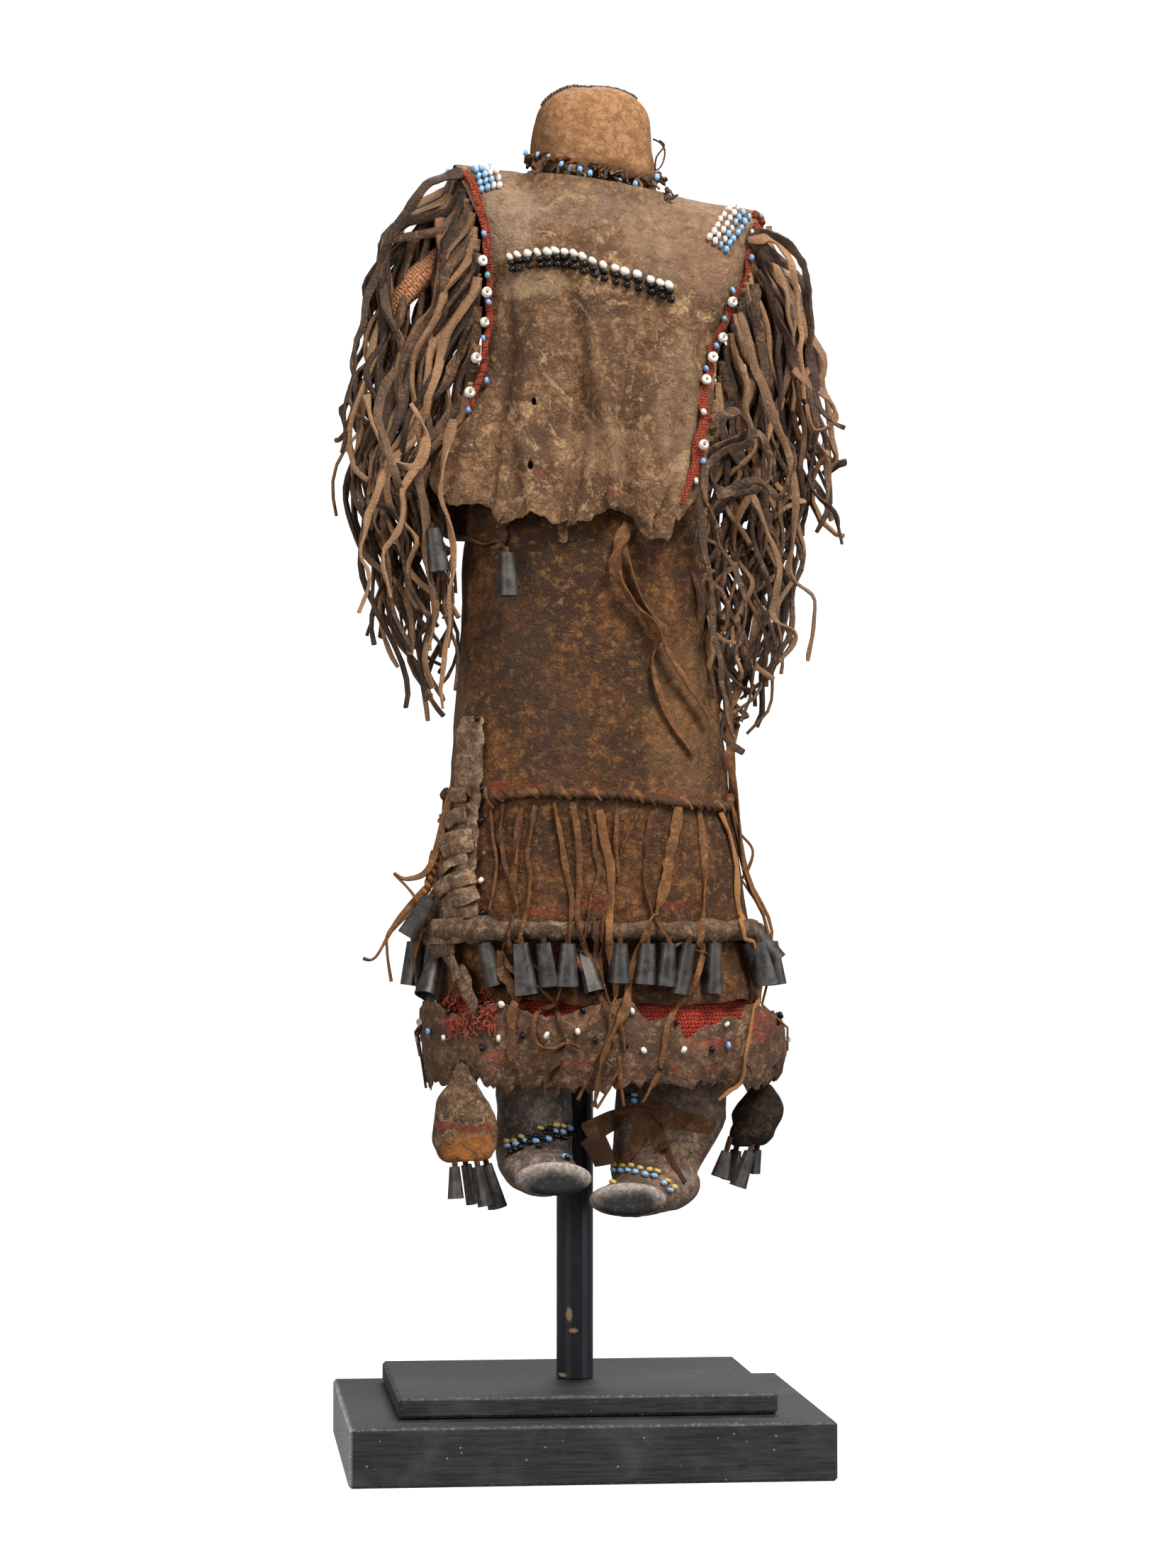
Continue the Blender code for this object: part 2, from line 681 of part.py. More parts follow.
def on_cape(panel, x, height, lift):
    """The point of the cape's front at this x and at this height above the soles, in UNIT."""
    level = height
    for _ in range(4):
        level = height - slump(x * UNIT, level) / UNIT
    left, right, _ = along(CAPE, level)
    return panel_point(panel, (x - left) / (right - left), level, lift)[0]


def make_trim(name, share, low, high, wave, panel, finishes, doll):
    """Red braid along an armhole's front edge."""
    steps = 12
    path, facings = [], []
    for i in range(steps + 1):
        height = low + (high - low) * i / steps
        left, right, _ = along(CAPE, height)
        inward = (TRIM_WIDTH / UNIT * 0.5 + 0.8 + wave * (1 + math.sin(1.9 * i))) / (right - left)
        point, facing = panel_point(panel, abs(share - inward), height, 3 * GAP + TRIM_THICKNESS / 2)
        path.append(point)
        facings.append(facing)
    braid = skin_over(band(path, facings, TRIM_WIDTH, TRIM_THICKNESS))
    add_object(name, braid, finishes["red cloth"], doll)


def make_beadwork(panel, finishes, doll):
    glass = finishes["bead glass"]
    lift = 4 * GAP
    # Chest row: seventeen stacks of three, level and then falling to the viewer's right
    rows = []
    for line in range(4):
        row = []
        for i in range(18):
            x = -20.4 + 44.6 * i / 17
            top = 259.6 + 1.0 * math.sin(0.5 * i) - 9.5 * ease(i, 6, 19)
            row.append(on_cape(panel, x, top - line * SEED_BEAD / UNIT, lift))
        rows.append(row)
    add_object("chest_beads", bead_cloth(rows, SEED_BEAD), glass, doll)
    for name, corners, columns, lines in (
        ("shoulder_beads_left", ((-28.0, 279.4), (-20.6, 278.6), (-26.6, 272.8), (-20.0, 272.0)), 4, 4),
        ("shoulder_beads_right", ((35.6, 273.4), (42.2, 272.2), (31.8, 262.8), (38.4, 261.2)), 4, 6),
    ):
        rows = []
        for line in range(lines + 1):
            down = line / lines
            row = []
            for i in range(columns + 1):
                over = i / columns
                x, height = (
                    (a * (1 - over) + b * over) * (1 - down) + (c * (1 - over) + d * over) * down
                    for a, b, c, d in zip(*corners)
                )
                row.append(on_cape(panel, x, height, lift))
            rows.append(row)
        add_object(name, bead_cloth(rows, SEED_BEAD), glass, doll)
    # Necklace: a twisted thread with beads, lying on the cape's collar
    rings = []
    for i, turn in enumerate(turns(28)):
        thick = SEED_BEAD * (0.52 if i % 2 else 0.36)
        centre = skin(HEAD, 284, turn, SEED_BEAD * 0.52 + GAP, power=2.6)
        spread = skin(HEAD, 284, turn, SEED_BEAD * 2, power=2.6) - centre
        spread.z = 0
        spread.normalize()
        ring = [centre + (spread * math.cos(t) + Vector((0, 0, math.sin(t)))) * thick for t in turns(4)]
        rings.append(ring)
    add_object("necklace", skin_over(rings, closed=True), glass, doll)


# Thongs, cones and pouches


def in_front(x, height, offset):
    """The point of the clothed outline's front at this x and height, in UNIT, lifted by an offset."""
    left, right, front, _ = along(CLOTHED, height)
    aside = abs(x - (left + right) / 2) / ((right - left) / 2 + offset / UNIT)
    y = -(front * UNIT + offset) * (1 - aside**POWER) ** (1 / POWER)
    return Vector((x * UNIT, y, height * UNIT))


def make_hem_thongs(finishes, doll):
    for name, lift, points in (
        ("hem_thong_long", 1.4, ((20.7, 176.5), (20.7, 159), (16.9, 149.4), (19.8, 136), (29.4, 124))),
        (
            "hem_thong_short",
            4.0,
            ((10.6, 186.4), (7.7, 176), (11.2, 166.6), (19.8, 159), (26.5, 149.4), (33, 137)),
        ),
    ):
        path = []
        for n, (x, height) in enumerate(points):
            point = in_front(x, height, lift * UNIT)
            if n == 0:
                point.y = cape_point(0.78, height + 2, -1, -HIDE / 2).y
            path.append(point)
        facings = [Vector((0.15, -1, 0))] * len(path)
        widths = [STRIP_WIDTH * (1 - 0.08 * n) for n in range(len(path))]
        add_object(name, skin_over(band(path, facings, widths, HIDE)), finishes["strip hide"], doll)


def cone_mesh(stem):
    """A rolled tin cone, open below, on a stem of thong. Its neck is at zero."""
    neck, mouth = CONE_NECK / 2, CONE_MOUTH / 2
    low, roof = -CONE_LENGTH, -2 * CONE_WALL
    profile = [(neck * 0.45, stem), (neck, 0), (mouth, low), (mouth - CONE_WALL, low)]
    profile.append((neck - CONE_WALL, roof))
    return skin_over([[Vector((r * math.sin(t), r * math.cos(t), z)) for t in turns(6)] for r, z in profile])


def hang_cone(name, top, tilt_x, tilt_y, data, doll):
    cone = bpy.data.objects.new(name, data)
    cone.parent = doll
    cone.location = top
    cone.rotation_euler = (math.radians(tilt_x), math.radians(tilt_y), 0)
    bpy.context.collection.objects.link(cone)


def shared_cone(stem, finishes):
    """A cone's mesh, for several cones to share."""
    first = add_object("cone", cone_mesh(stem), finishes["tin"])
    data = first.data
    bpy.data.objects.remove(first)
    return data


def make_cones(finishes, doll):
    data = shared_cone(SKIRT_STEM, finishes)
    top = LOWER_WELT_HEIGHT * UNIT - LOWER_WELT / 2 - 2 * GAP - SKIRT_STEM
    for n, (turn, tilt) in enumerate(zip(CONE_TURNS, CONE_TILTS)):
        place = skin(CLOTHED, LOWER_WELT_HEIGHT - 11, turn, CONES_OUT * UNIT)
        place.z = top
        hang_cone(f"cone_skirt_{n + 1}", place, 0, tilt, data, doll)
    data = shared_cone(SHORT_STEM, finishes)
    hem = cape_point(0.31, 180, -1, -HIDE / 2)
    hang_cone("cone_hem", hem + Vector((-0.5 * UNIT, 0, -3.2 * UNIT)), 0, 2, data, doll)
    for side, pouch in (("left", POUCH_LEFT), ("right", POUCH_RIGHT)):
        x, y, low = pouch["bottom"]
        for n in range(4):
            place = Vector((x - 4.6 + 3.1 * n, y + POUCH_CONES_APART * (0.5 if n % 2 else -0.5), low)) * UNIT
            place.z -= SHORT_STEM + 2 * GAP
            hang_cone(f"cone_pouch_{side}_{n + 1}", place, 5 if n % 2 else -5, 6 - 5 * n, data, doll)


def make_pouches(finishes, doll):
    """Drop-shaped hide bags, narrow where they hang and flat at the bottom."""
    for name, pouch in (("pouch_left", POUCH_LEFT), ("pouch_right", POUCH_RIGHT)):
        top, bottom = Vector(pouch["top"]), Vector(pouch["bottom"])
        rings = []
        for share, wide in POUCH_PROFILE:
            centre = top.lerp(bottom, share)
            ring = []
            for turn in turns(12):
                over = Vector((pouch["width"] * math.sin(turn), pouch["depth"] * math.cos(turn), 0))
                ring.append((centre + over * wide) * UNIT)
            rings.append(ring)
        add_object(name, skin_over(rings), finishes["tan hide"], doll)


def make_boot_beads(finishes, doll):
    """Bead bands round the left ankle and over the right toe, and the tie round the right ankle."""
    rows = []
    lift = 2 * GAP / UNIT
    for line in range(3):
        row = []
        for i in range(9):
            turn = -1.1 + 2.2 * i / 8
            height = 21.6 + 3.4 * i / 8 + 2.6 - line * SEED_BEAD / UNIT
            row.append(leg_point(BOOT_LEFT, turn, height, lift + 0.2))
        rows.append(row)
    add_object("boot_beads_left", bead_cloth(rows, SEED_BEAD), finishes["bead glass"], doll)
    rows = []
    for line in range(3):
        row = []
        for i in range(10):
            turn = -1.25 + 2.6 * i / 9
            row.append(toe_point(BOOT_RIGHT, turn, 0.55 + 0.16 * line, lift + 0.5))
        rows.append(row)
    add_object("boot_beads_right", bead_cloth(rows, SEED_BEAD), finishes["bead glass"], doll)
    path, facings = [], []
    for i in range(9):
        turn = -0.9 + 2.1 * i / 8
        path.append(leg_point(BOOT_RIGHT, turn, 27.5 - 0.35 * i, lift + 0.5 + HIDE / UNIT))
        facings.append(Vector((math.sin(turn), -math.cos(turn), 0)))
    loose = [Vector((x, y, z)) * UNIT for x, y, z in ((1.4, -14.2, 27.4), (6.6, -16.4, 28.6))]
    facings = [Vector((-0.4, -0.9, 0)), Vector((-0.4, -0.9, 0))] + facings
    rings = band(loose + path, facings, TIE_WIDTH, HIDE)
    add_object("ankle_tie", skin_over(rings), finishes["strip hide"], doll)


def main():
    clear_scene()
    finishes = make_finishes()
    make_stand(finishes)
    doll = bpy.data.objects.new("doll", None)
    doll.location.z = FEET_Z
    bpy.context.collection.objects.link(doll)
    make_body(finishes, doll)
    make_cape(finishes, doll)
    make_skirts(finishes, doll)
    make_flap(finishes, doll)
    make_welts(finishes, doll)
    make_fringe("fringe_left", 0, 222, finishes, doll, (36, 66, 145, 215))
    make_fringe("fringe_right", 1, 190, finishes, doll, (40, 72, 135, 205))
    make_arms(finishes, doll)
    make_boots(finishes, doll)
    panel = list(zip(*cape_rows(-1)))
    make_trim("cape_trim_left", 0, 215, 266, 0.2, panel, finishes, doll)
    make_trim("cape_trim_right", 1, 189, 276, 0.5, panel, finishes, doll)
    make_beadwork(panel, finishes, doll)
    make_hem_thongs(finishes, doll)
    make_cones(finishes, doll)
    make_pouches(finishes, doll)
    make_boot_beads(finishes, doll)


main()
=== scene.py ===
# %% [markdown]
# # Beaded hide doll on a stand
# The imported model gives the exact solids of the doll, and this lesson dresses them: worn hide, fringe, glass
# beads, tin cones, coarse red cloth and black painted wood. The frame comes first, because every piece here is
# fitted to it or copied from it.

# %% The frame
import math
import random

import bmesh
import bpy
from mathutils import Matrix, Vector, noise
from mathutils.bvhtree import BVHTree


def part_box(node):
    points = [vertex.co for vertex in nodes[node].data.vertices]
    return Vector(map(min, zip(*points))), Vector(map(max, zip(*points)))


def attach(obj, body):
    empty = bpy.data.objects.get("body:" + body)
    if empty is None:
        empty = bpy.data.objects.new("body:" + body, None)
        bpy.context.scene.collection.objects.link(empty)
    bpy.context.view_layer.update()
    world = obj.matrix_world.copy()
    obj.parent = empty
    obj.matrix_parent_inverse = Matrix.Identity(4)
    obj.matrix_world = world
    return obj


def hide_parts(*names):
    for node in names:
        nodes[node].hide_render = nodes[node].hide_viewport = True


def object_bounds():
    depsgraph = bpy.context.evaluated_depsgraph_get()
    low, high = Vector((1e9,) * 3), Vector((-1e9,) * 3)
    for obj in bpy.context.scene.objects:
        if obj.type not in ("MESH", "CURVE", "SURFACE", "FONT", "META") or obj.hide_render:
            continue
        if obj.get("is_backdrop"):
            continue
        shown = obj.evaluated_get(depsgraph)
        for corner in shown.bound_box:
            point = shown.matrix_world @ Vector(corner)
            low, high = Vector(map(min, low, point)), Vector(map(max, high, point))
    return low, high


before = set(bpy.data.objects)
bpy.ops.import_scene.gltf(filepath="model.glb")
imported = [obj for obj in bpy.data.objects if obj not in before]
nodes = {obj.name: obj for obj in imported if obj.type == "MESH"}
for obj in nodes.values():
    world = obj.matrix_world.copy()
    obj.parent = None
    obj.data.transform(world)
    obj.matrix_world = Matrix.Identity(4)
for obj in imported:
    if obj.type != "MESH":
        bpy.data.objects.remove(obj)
cad_low, cad_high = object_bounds()
MM = 0.001
UP = Vector((0, 0, 1))
AXIS_X = 0.005
print(len(nodes), "nodes,", round((cad_high.z - cad_low.z) / MM), "mm tall")

# %% [markdown]
# ## Mesh helper
# Most shapes here are drawn in a working mesh and then become mesh data that an object can carry.

# %% Mesh data


def mesh_data(mesh, name):
    """Mesh data made from a working mesh, which is freed."""
    data = bpy.data.meshes.new(name)
    mesh.to_mesh(data)
    mesh.free()
    return data


def pour(own, mesh):
    """Adds a small working mesh to a larger one, and frees the small one."""
    data = mesh_data(own, "poured")
    mesh.from_mesh(data)
    bpy.data.meshes.remove(data)


# %% [markdown]
# ## Camera
# The photograph is taken from about a metre, almost level with the doll's chest and a little from the left of
# the base's middle. A long lens keeps the base's edges nearly parallel, so the camera is set from three plain
# numbers: turn, tilt and distance.

# %% Camera
TURN, TILT, DISTANCE = math.radians(-6.1), math.radians(1.706), 1.032
ahead = Vector((-math.sin(TURN), math.cos(TURN), 0))
aside = Vector((math.cos(TURN), math.sin(TURN), 0))
camera_data = bpy.data.cameras.new("camera")
camera_data.lens = 86.9
camera_data.clip_end = 20
camera = bpy.data.objects.new("camera", camera_data)
camera.location = -ahead * DISTANCE + aside * 0.0036 + UP * 0.1518
camera.rotation_euler = (math.pi / 2 + TILT, 0, TURN)
bpy.context.collection.objects.link(camera)
bpy.context.scene.camera = camera
bpy.context.scene.view_settings.view_transform = "Standard"
print("camera at", [round(v, 3) for v in camera.location])

# %% [markdown]
# ## Studio light
# The photograph has a burnt-out white ground and a broad soft light from high up in front, a little from the
# right, which grazes the folds. A weaker light fills the left side, and a cool window shines from the right. The
# ground is white to the camera alone, so that it doesn't flatten the shading: the paper under the base glows by
# itself and is hidden from diffuse rays, and the world behind it is brighter for camera rays than for the light.

# %% Light and paper


def lamp(name, place, aim, size, power, tint=(1, 1, 1)):
    data = bpy.data.lights.new(name, "AREA")
    data.size = size
    data.energy = power
    data.color = tint
    light = bpy.data.objects.new(name, data)
    light.location = place
    light.rotation_euler = (Vector(aim) - Vector(place)).to_track_quat("-Z", "Y").to_euler()
    bpy.context.collection.objects.link(light)


lamp("key", (0.34, -0.62, 1.05), (0, 0, 0.20), 0.42, 17.0, (1.0, 0.98, 0.95))
lamp("fill", (-0.85, -0.75, 0.45), (0, 0, 0.2), 0.6, 6.0, (0.97, 0.98, 1.0))
lamp("window", (0.95, -0.45, 0.30), (0, 0, 0.2), 0.5, 4.5, (0.80, 0.90, 1.0))
lamp("rim", (0.15, 0.60, 0.95), (0, 0, 0.2), 0.5, 7.0)

LIGHT_STRENGTH, SEEN_STRENGTH = 0.32, 1.2
world = bpy.data.worlds.new("studio")
world.use_nodes = True
sky = world.node_tree.nodes["Background"]
sky.inputs["Color"].default_value = (1, 1, 1, 1)
path = world.node_tree.nodes.new("ShaderNodeLightPath")
strength = world.node_tree.nodes.new("ShaderNodeMapRange")
strength.inputs["To Min"].default_value = LIGHT_STRENGTH
strength.inputs["To Max"].default_value = SEEN_STRENGTH
world.node_tree.links.new(path.outputs["Is Camera Ray"], strength.inputs["Value"])
world.node_tree.links.new(strength.outputs["Result"], sky.inputs["Strength"])
bpy.context.scene.world = world


def paper(name, place, lean, glow):
    mesh = bmesh.new()
    bmesh.ops.create_grid(mesh, x_segments=1, y_segments=1, size=5)
    data = mesh_data(mesh, name)
    white = bpy.data.materials.new("white " + name)
    white.use_nodes = True
    shader = white.node_tree.nodes["Principled BSDF"]
    shader.inputs["Base Color"].default_value = (0.35, 0.35, 0.35, 1)
    shader.inputs["Roughness"].default_value = 1.0
    shader.inputs["Specular IOR Level"].default_value = 0.0
    shader.inputs["Emission Color"].default_value = (1, 1, 1, 1)
    shader.inputs["Emission Strength"].default_value = glow
    data.materials.append(white)
    sheet = bpy.data.objects.new(name, data)
    sheet.location = place
    sheet.rotation_euler = (lean, 0, 0)
    sheet.visible_diffuse = False
    sheet.visible_glossy = False
    bpy.context.collection.objects.link(sheet)
    return sheet


paper("floor", (0, 0, 0), 0, 0.90)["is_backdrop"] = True
print("paper and 4 lamps")

# %% [markdown]
# ## Shader helpers
# Every finish here is built from the same few moves: a noise, a threshold, and a mix of two colours. Naming
# those moves once keeps each material short enough to read as a recipe. All patterns read Object coordinates,
# which are metres here because every finished object sits at the origin.

# %% Node helpers


class Recipe:
    """A node tree with short names for the moves that the finishes are made of."""

    def __init__(self, tree):
        self.tree = tree

    def add(self, kind, **values):
        node = self.tree.nodes.new(kind)
        for key, value in values.items():
            setattr(node, key, value)
        return node

    def plug(self, source, socket):
        if isinstance(source, bpy.types.NodeSocket):
            self.tree.links.new(source, socket)
        else:
            socket.default_value = source

    def noise(self, where, scale, detail=4.0, rough=0.6, distort=0.0):
        node = self.add("ShaderNodeTexNoise")
        self.plug(where, node.inputs["Vector"])
        self.plug(scale, node.inputs["Scale"])
        node.inputs["Detail"].default_value = detail
        node.inputs["Roughness"].default_value = rough
        node.inputs["Distortion"].default_value = distort
        return node.outputs["Fac"]

    def cells(self, where, scale, feature="F1"):
        node = self.add("ShaderNodeTexVoronoi", feature=feature)
        self.plug(where, node.inputs["Vector"])
        self.plug(scale, node.inputs["Scale"])
        return node.outputs["Distance"]

    def math(self, operation, first, second=0.0, third=0.0):
        node = self.add("ShaderNodeMath", operation=operation)
        for socket, value in zip(node.inputs, (first, second, third)):
            self.plug(value, socket)
        return node.outputs[0]

    def step(self, value, low, high):
        """0 below low, 1 above high and even between them. Low may be the larger."""
        node = self.add("ShaderNodeMapRange", interpolation_type="SMOOTHSTEP")
        self.plug(value, node.inputs["Value"])
        self.plug(low, node.inputs["From Min"])
        self.plug(high, node.inputs["From Max"])
        return node.outputs["Result"]

    def mix(self, share, first, second):
        node = self.add("ShaderNodeMix", data_type="RGBA")
        self.plug(share, node.inputs["Factor"])
        for name, value in (("A", first), ("B", second)):
            socket = next(s for s in node.inputs if s.name == name and s.type == "RGBA")
            self.plug(value if isinstance(value, bpy.types.NodeSocket) else (*value[:3], 1), socket)
        return next(s for s in node.outputs if s.type == "RGBA")

    def where(self):
        return self.add("ShaderNodeTexCoord").outputs["Object"]

    def stretched(self, where, scale):
        node = self.add("ShaderNodeMapping")
        self.plug(where, node.inputs["Vector"])
        node.inputs["Scale"].default_value = scale
        return node.outputs["Vector"]

    def parts(self, where):
        node = self.add("ShaderNodeSeparateXYZ")
        self.plug(where, node.inputs["Vector"])
        return node.outputs

    def group(self, tree, **values):
        node = self.add("ShaderNodeGroup")
        node.node_tree = tree
        for key, value in values.items():
            socket = node.inputs[key.replace("_", " ")]
            if isinstance(value, tuple):
                value = (*value[:3], 1)
            self.plug(value, socket)
        return node.outputs


def shader_group(name, sockets_in, sockets_out):
    """An empty node group with named sockets. Returns its recipe, its inputs and its end node."""
    tree = bpy.data.node_groups.new(name, "ShaderNodeTree")
    for label, kind, value in sockets_in:
        socket = tree.interface.new_socket(label, in_out="INPUT", socket_type="NodeSocket" + kind)
        if value is not None:
            socket.default_value = value
    for label, kind in sockets_out:
        tree.interface.new_socket(label, in_out="OUTPUT", socket_type="NodeSocket" + kind)
    recipe = Recipe(tree)
    start = recipe.add("NodeGroupInput")
    end = recipe.add("NodeGroupOutput")
    return recipe, start.outputs, end


def material(name):
    """A new material, its recipe and its Principled shader."""
    made = bpy.data.materials.new(name)
    made.use_nodes = True
    recipe = Recipe(made.node_tree)
    return made, recipe, made.node_tree.nodes["Principled BSDF"]


def bump(recipe, shader, height, strength, distance):
    node = recipe.add("ShaderNodeBump")
    node.inputs["Strength"].default_value = strength
    node.inputs["Distance"].default_value = distance
    recipe.plug(height, node.inputs["Height"])
    recipe.plug(node.outputs["Normal"], shader.inputs["Normal"])


# %% [markdown]
# ## Worn hide
# Brain-tanned hide that has been handled for a century is never one brown. Broad stains run through it, its
# nap has rubbed off in pale, ragged scuffs, soot and grease darken it, and the skin side shows a fine pebbled
# grain with small creases. One group makes all of these, and each garment gives it its own colours and amounts.

# %% Hide group
hide_recipe, given, end = shader_group(
    "worn hide",
    (
        ("Where", "Vector", None),
        ("Main", "Color", (0.2, 0.1, 0.05, 1)),
        ("Dark", "Color", (0.05, 0.03, 0.02, 1)),
        ("Scuff", "Color", (0.4, 0.25, 0.12, 1)),
        ("Stain Size", "Float", 70.0),
        ("Stain Level", "Float", 0.5),
        ("Scuff Level", "Float", 0.62),
        ("Scuff Size", "Float", 220.0),
    ),
    (("Color", "Color"), ("Roughness", "Float"), ("Height", "Float")),
)
h = hide_recipe
spot = given["Where"]
broad = h.noise(spot, given["Stain Size"], 6, 0.66, 0.8)
small = h.noise(spot, h.math("MULTIPLY", given["Stain Size"], 5.0), 6, 0.72, 0.4)
stain = h.math("ADD", h.math("MULTIPLY", broad, 0.66), h.math("MULTIPLY", small, 0.34))
stain = h.step(stain, h.math("ADD", given["Stain Level"], 0.075), h.math("SUBTRACT", given["Stain Level"], 0.075))
colour = h.mix(stain, given["Main"], given["Dark"])
pale = h.mix(0.45, given["Main"], given["Scuff"])
grain = h.noise(spot, 1300.0, 6, 0.78)
coarse = h.noise(spot, 420.0, 6, 0.76, 0.4)
colour = h.mix(h.math("MULTIPLY", h.step(coarse, 0.51, 0.41), 0.85), colour, given["Dark"])
colour = h.mix(h.math("MULTIPLY", h.step(coarse, 0.53, 0.62), 0.75), colour, pale)
rubbed = h.noise(spot, given["Scuff Size"], 10, 0.80, 1.0)
rubbed = h.math("ADD", rubbed, h.math("MULTIPLY", h.math("SUBTRACT", grain, 0.5), 0.5))
rubbed = h.step(rubbed, given["Scuff Level"], h.math("ADD", given["Scuff Level"], 0.07))
colour = h.mix(h.math("MULTIPLY", rubbed, 0.85), colour, given["Scuff"])
peeled = h.noise(spot, h.math("MULTIPLY", given["Scuff Size"], 0.42), 12, 0.74, 1.6)
peeled = h.math("ADD", peeled, h.math("MULTIPLY", h.math("SUBTRACT", coarse, 0.5), 0.25))
peeled = h.step(peeled, h.math("SUBTRACT", given["Scuff Level"], 0.03), h.math("ADD", given["Scuff Level"], 0.0))
colour = h.mix(h.math("MULTIPLY", peeled, 0.6), colour, given["Scuff"])
colour = h.mix(h.math("MULTIPLY", h.step(grain, 0.50, 0.36), 0.62), colour, h.mix(0.2, given["Dark"], given["Main"]))
colour = h.mix(h.math("MULTIPLY", h.step(grain, 0.55, 0.68), 0.45), colour, pale)
wander = h.add("ShaderNodeTexNoise")
h.plug(spot, wander.inputs["Vector"])
wander.inputs["Scale"].default_value = 260
creased = h.add("ShaderNodeVectorMath", operation="MULTIPLY_ADD")
h.plug(wander.outputs["Color"], creased.inputs[0])
creased.inputs[1].default_value = (0.003, 0.003, 0.003)
h.plug(spot, creased.inputs[2])
crease = h.step(h.cells(creased.outputs[0], 330.0, "DISTANCE_TO_EDGE"), 0.0, 0.11)
colour = h.mix(h.math("MULTIPLY", h.math("SUBTRACT", 1.0, crease), 0.45), colour, given["Dark"])
pores = h.cells(spot, 1300.0)
hollows = h.noise(spot, 330.0, 6, 0.68, 0.4)
height = h.math("ADD", h.math("MULTIPLY", grain, 0.6), h.math("MULTIPLY", pores, 0.25))
height = h.math("ADD", height, h.math("MULTIPLY", hollows, 1.5))
height = h.math("ADD", height, h.math("MULTIPLY", crease, 0.22))
height = h.math("SUBTRACT", height, h.math("MULTIPLY", h.math("ADD", rubbed, peeled), 0.15))
h.plug(colour, end.inputs["Color"])
h.plug(h.step(h.math("SUBTRACT", broad, h.math("MULTIPLY", rubbed, 0.1)), 0.1, 1.6), end.inputs["Roughness"])
h.plug(height, end.inputs["Height"])
hide_group = hide_recipe.tree
print("hide group with", len(hide_group.nodes), "nodes")

# %% [markdown]
# A garment's own material adds the local history: where red pigment was rubbed in, where a side is sooty,
# where an edge is darker. On the head the darker sides are painted shade. Those zones are soft bands on the
# object's own coordinates.

# %% Hide materials


def zone(recipe, where, centre, reach, ragged=0.25):
    """1 at a point and 0 beyond its reach, with a ragged edge. Centre and reach are in millimetres."""
    node = recipe.add("ShaderNodeVectorMath", operation="SUBTRACT")
    recipe.plug(where, node.inputs[0])
    node.inputs[1].default_value = Vector(centre) * MM
    shrink = recipe.add("ShaderNodeVectorMath", operation="DIVIDE")
    recipe.plug(node.outputs[0], shrink.inputs[0])
    shrink.inputs[1].default_value = Vector(reach) * MM
    length = recipe.add("ShaderNodeVectorMath", operation="LENGTH")
    recipe.plug(shrink.outputs[0], length.inputs[0])
    torn = recipe.math("MULTIPLY", recipe.math("SUBTRACT", recipe.noise(where, 160.0, 6, 0.7), 0.5), 4 * ragged)
    return recipe.step(recipe.math("ADD", length.outputs["Value"], torn), 1.0, 0.45)


RED = (0.26, 0.035, 0.022)


def hide(name, main, dark, scuff, size=70.0, stain=0.5, scuffing=0.62, scuff_size=220.0, rough=0.8, zones=(),
         relief=0.6, tone=False, gloss=0.12):
    """A hide material. Each zone is a colour, its strength, its centre and its reach in millimetres."""
    made, recipe, shader = material(name)
    where = recipe.where()
    out = recipe.group(
        hide_group, Where=where, Main=main, Dark=dark, Scuff=scuff, Stain_Size=size, Stain_Level=stain,
        Scuff_Level=scuffing, Scuff_Size=scuff_size,
    )
    colour = out["Color"]
    for paint, strength, centre, reach in zones:
        share = recipe.math("MULTIPLY", zone(recipe, where, centre, reach), strength)
        if paint == RED:
            share = recipe.math("MULTIPLY", share, recipe.step(recipe.noise(where, 190.0, 7, 0.75), 0.40, 0.60))
        else:
            share = recipe.math("MULTIPLY", share, recipe.step(recipe.noise(where, 360.0, 7, 0.78), 0.28, 0.60))
        colour = recipe.mix(share, colour, paint)
    if tone:
        own = recipe.add("ShaderNodeAttribute", attribute_name="tone").outputs["Fac"]
        colour = recipe.mix(recipe.step(own, 0.35, 1.0), colour, scuff)
        colour = recipe.mix(recipe.step(own, 0.55, 0.0), colour, dark)
    recipe.plug(colour, shader.inputs["Base Color"])
    recipe.plug(recipe.math("ADD", recipe.math("MULTIPLY", out["Roughness"], 0.3), rough - 0.15),
                shader.inputs["Roughness"])
    shader.inputs["Specular IOR Level"].default_value = gloss
    bump(recipe, shader, out["Height"], relief, 0.0013)
    return made


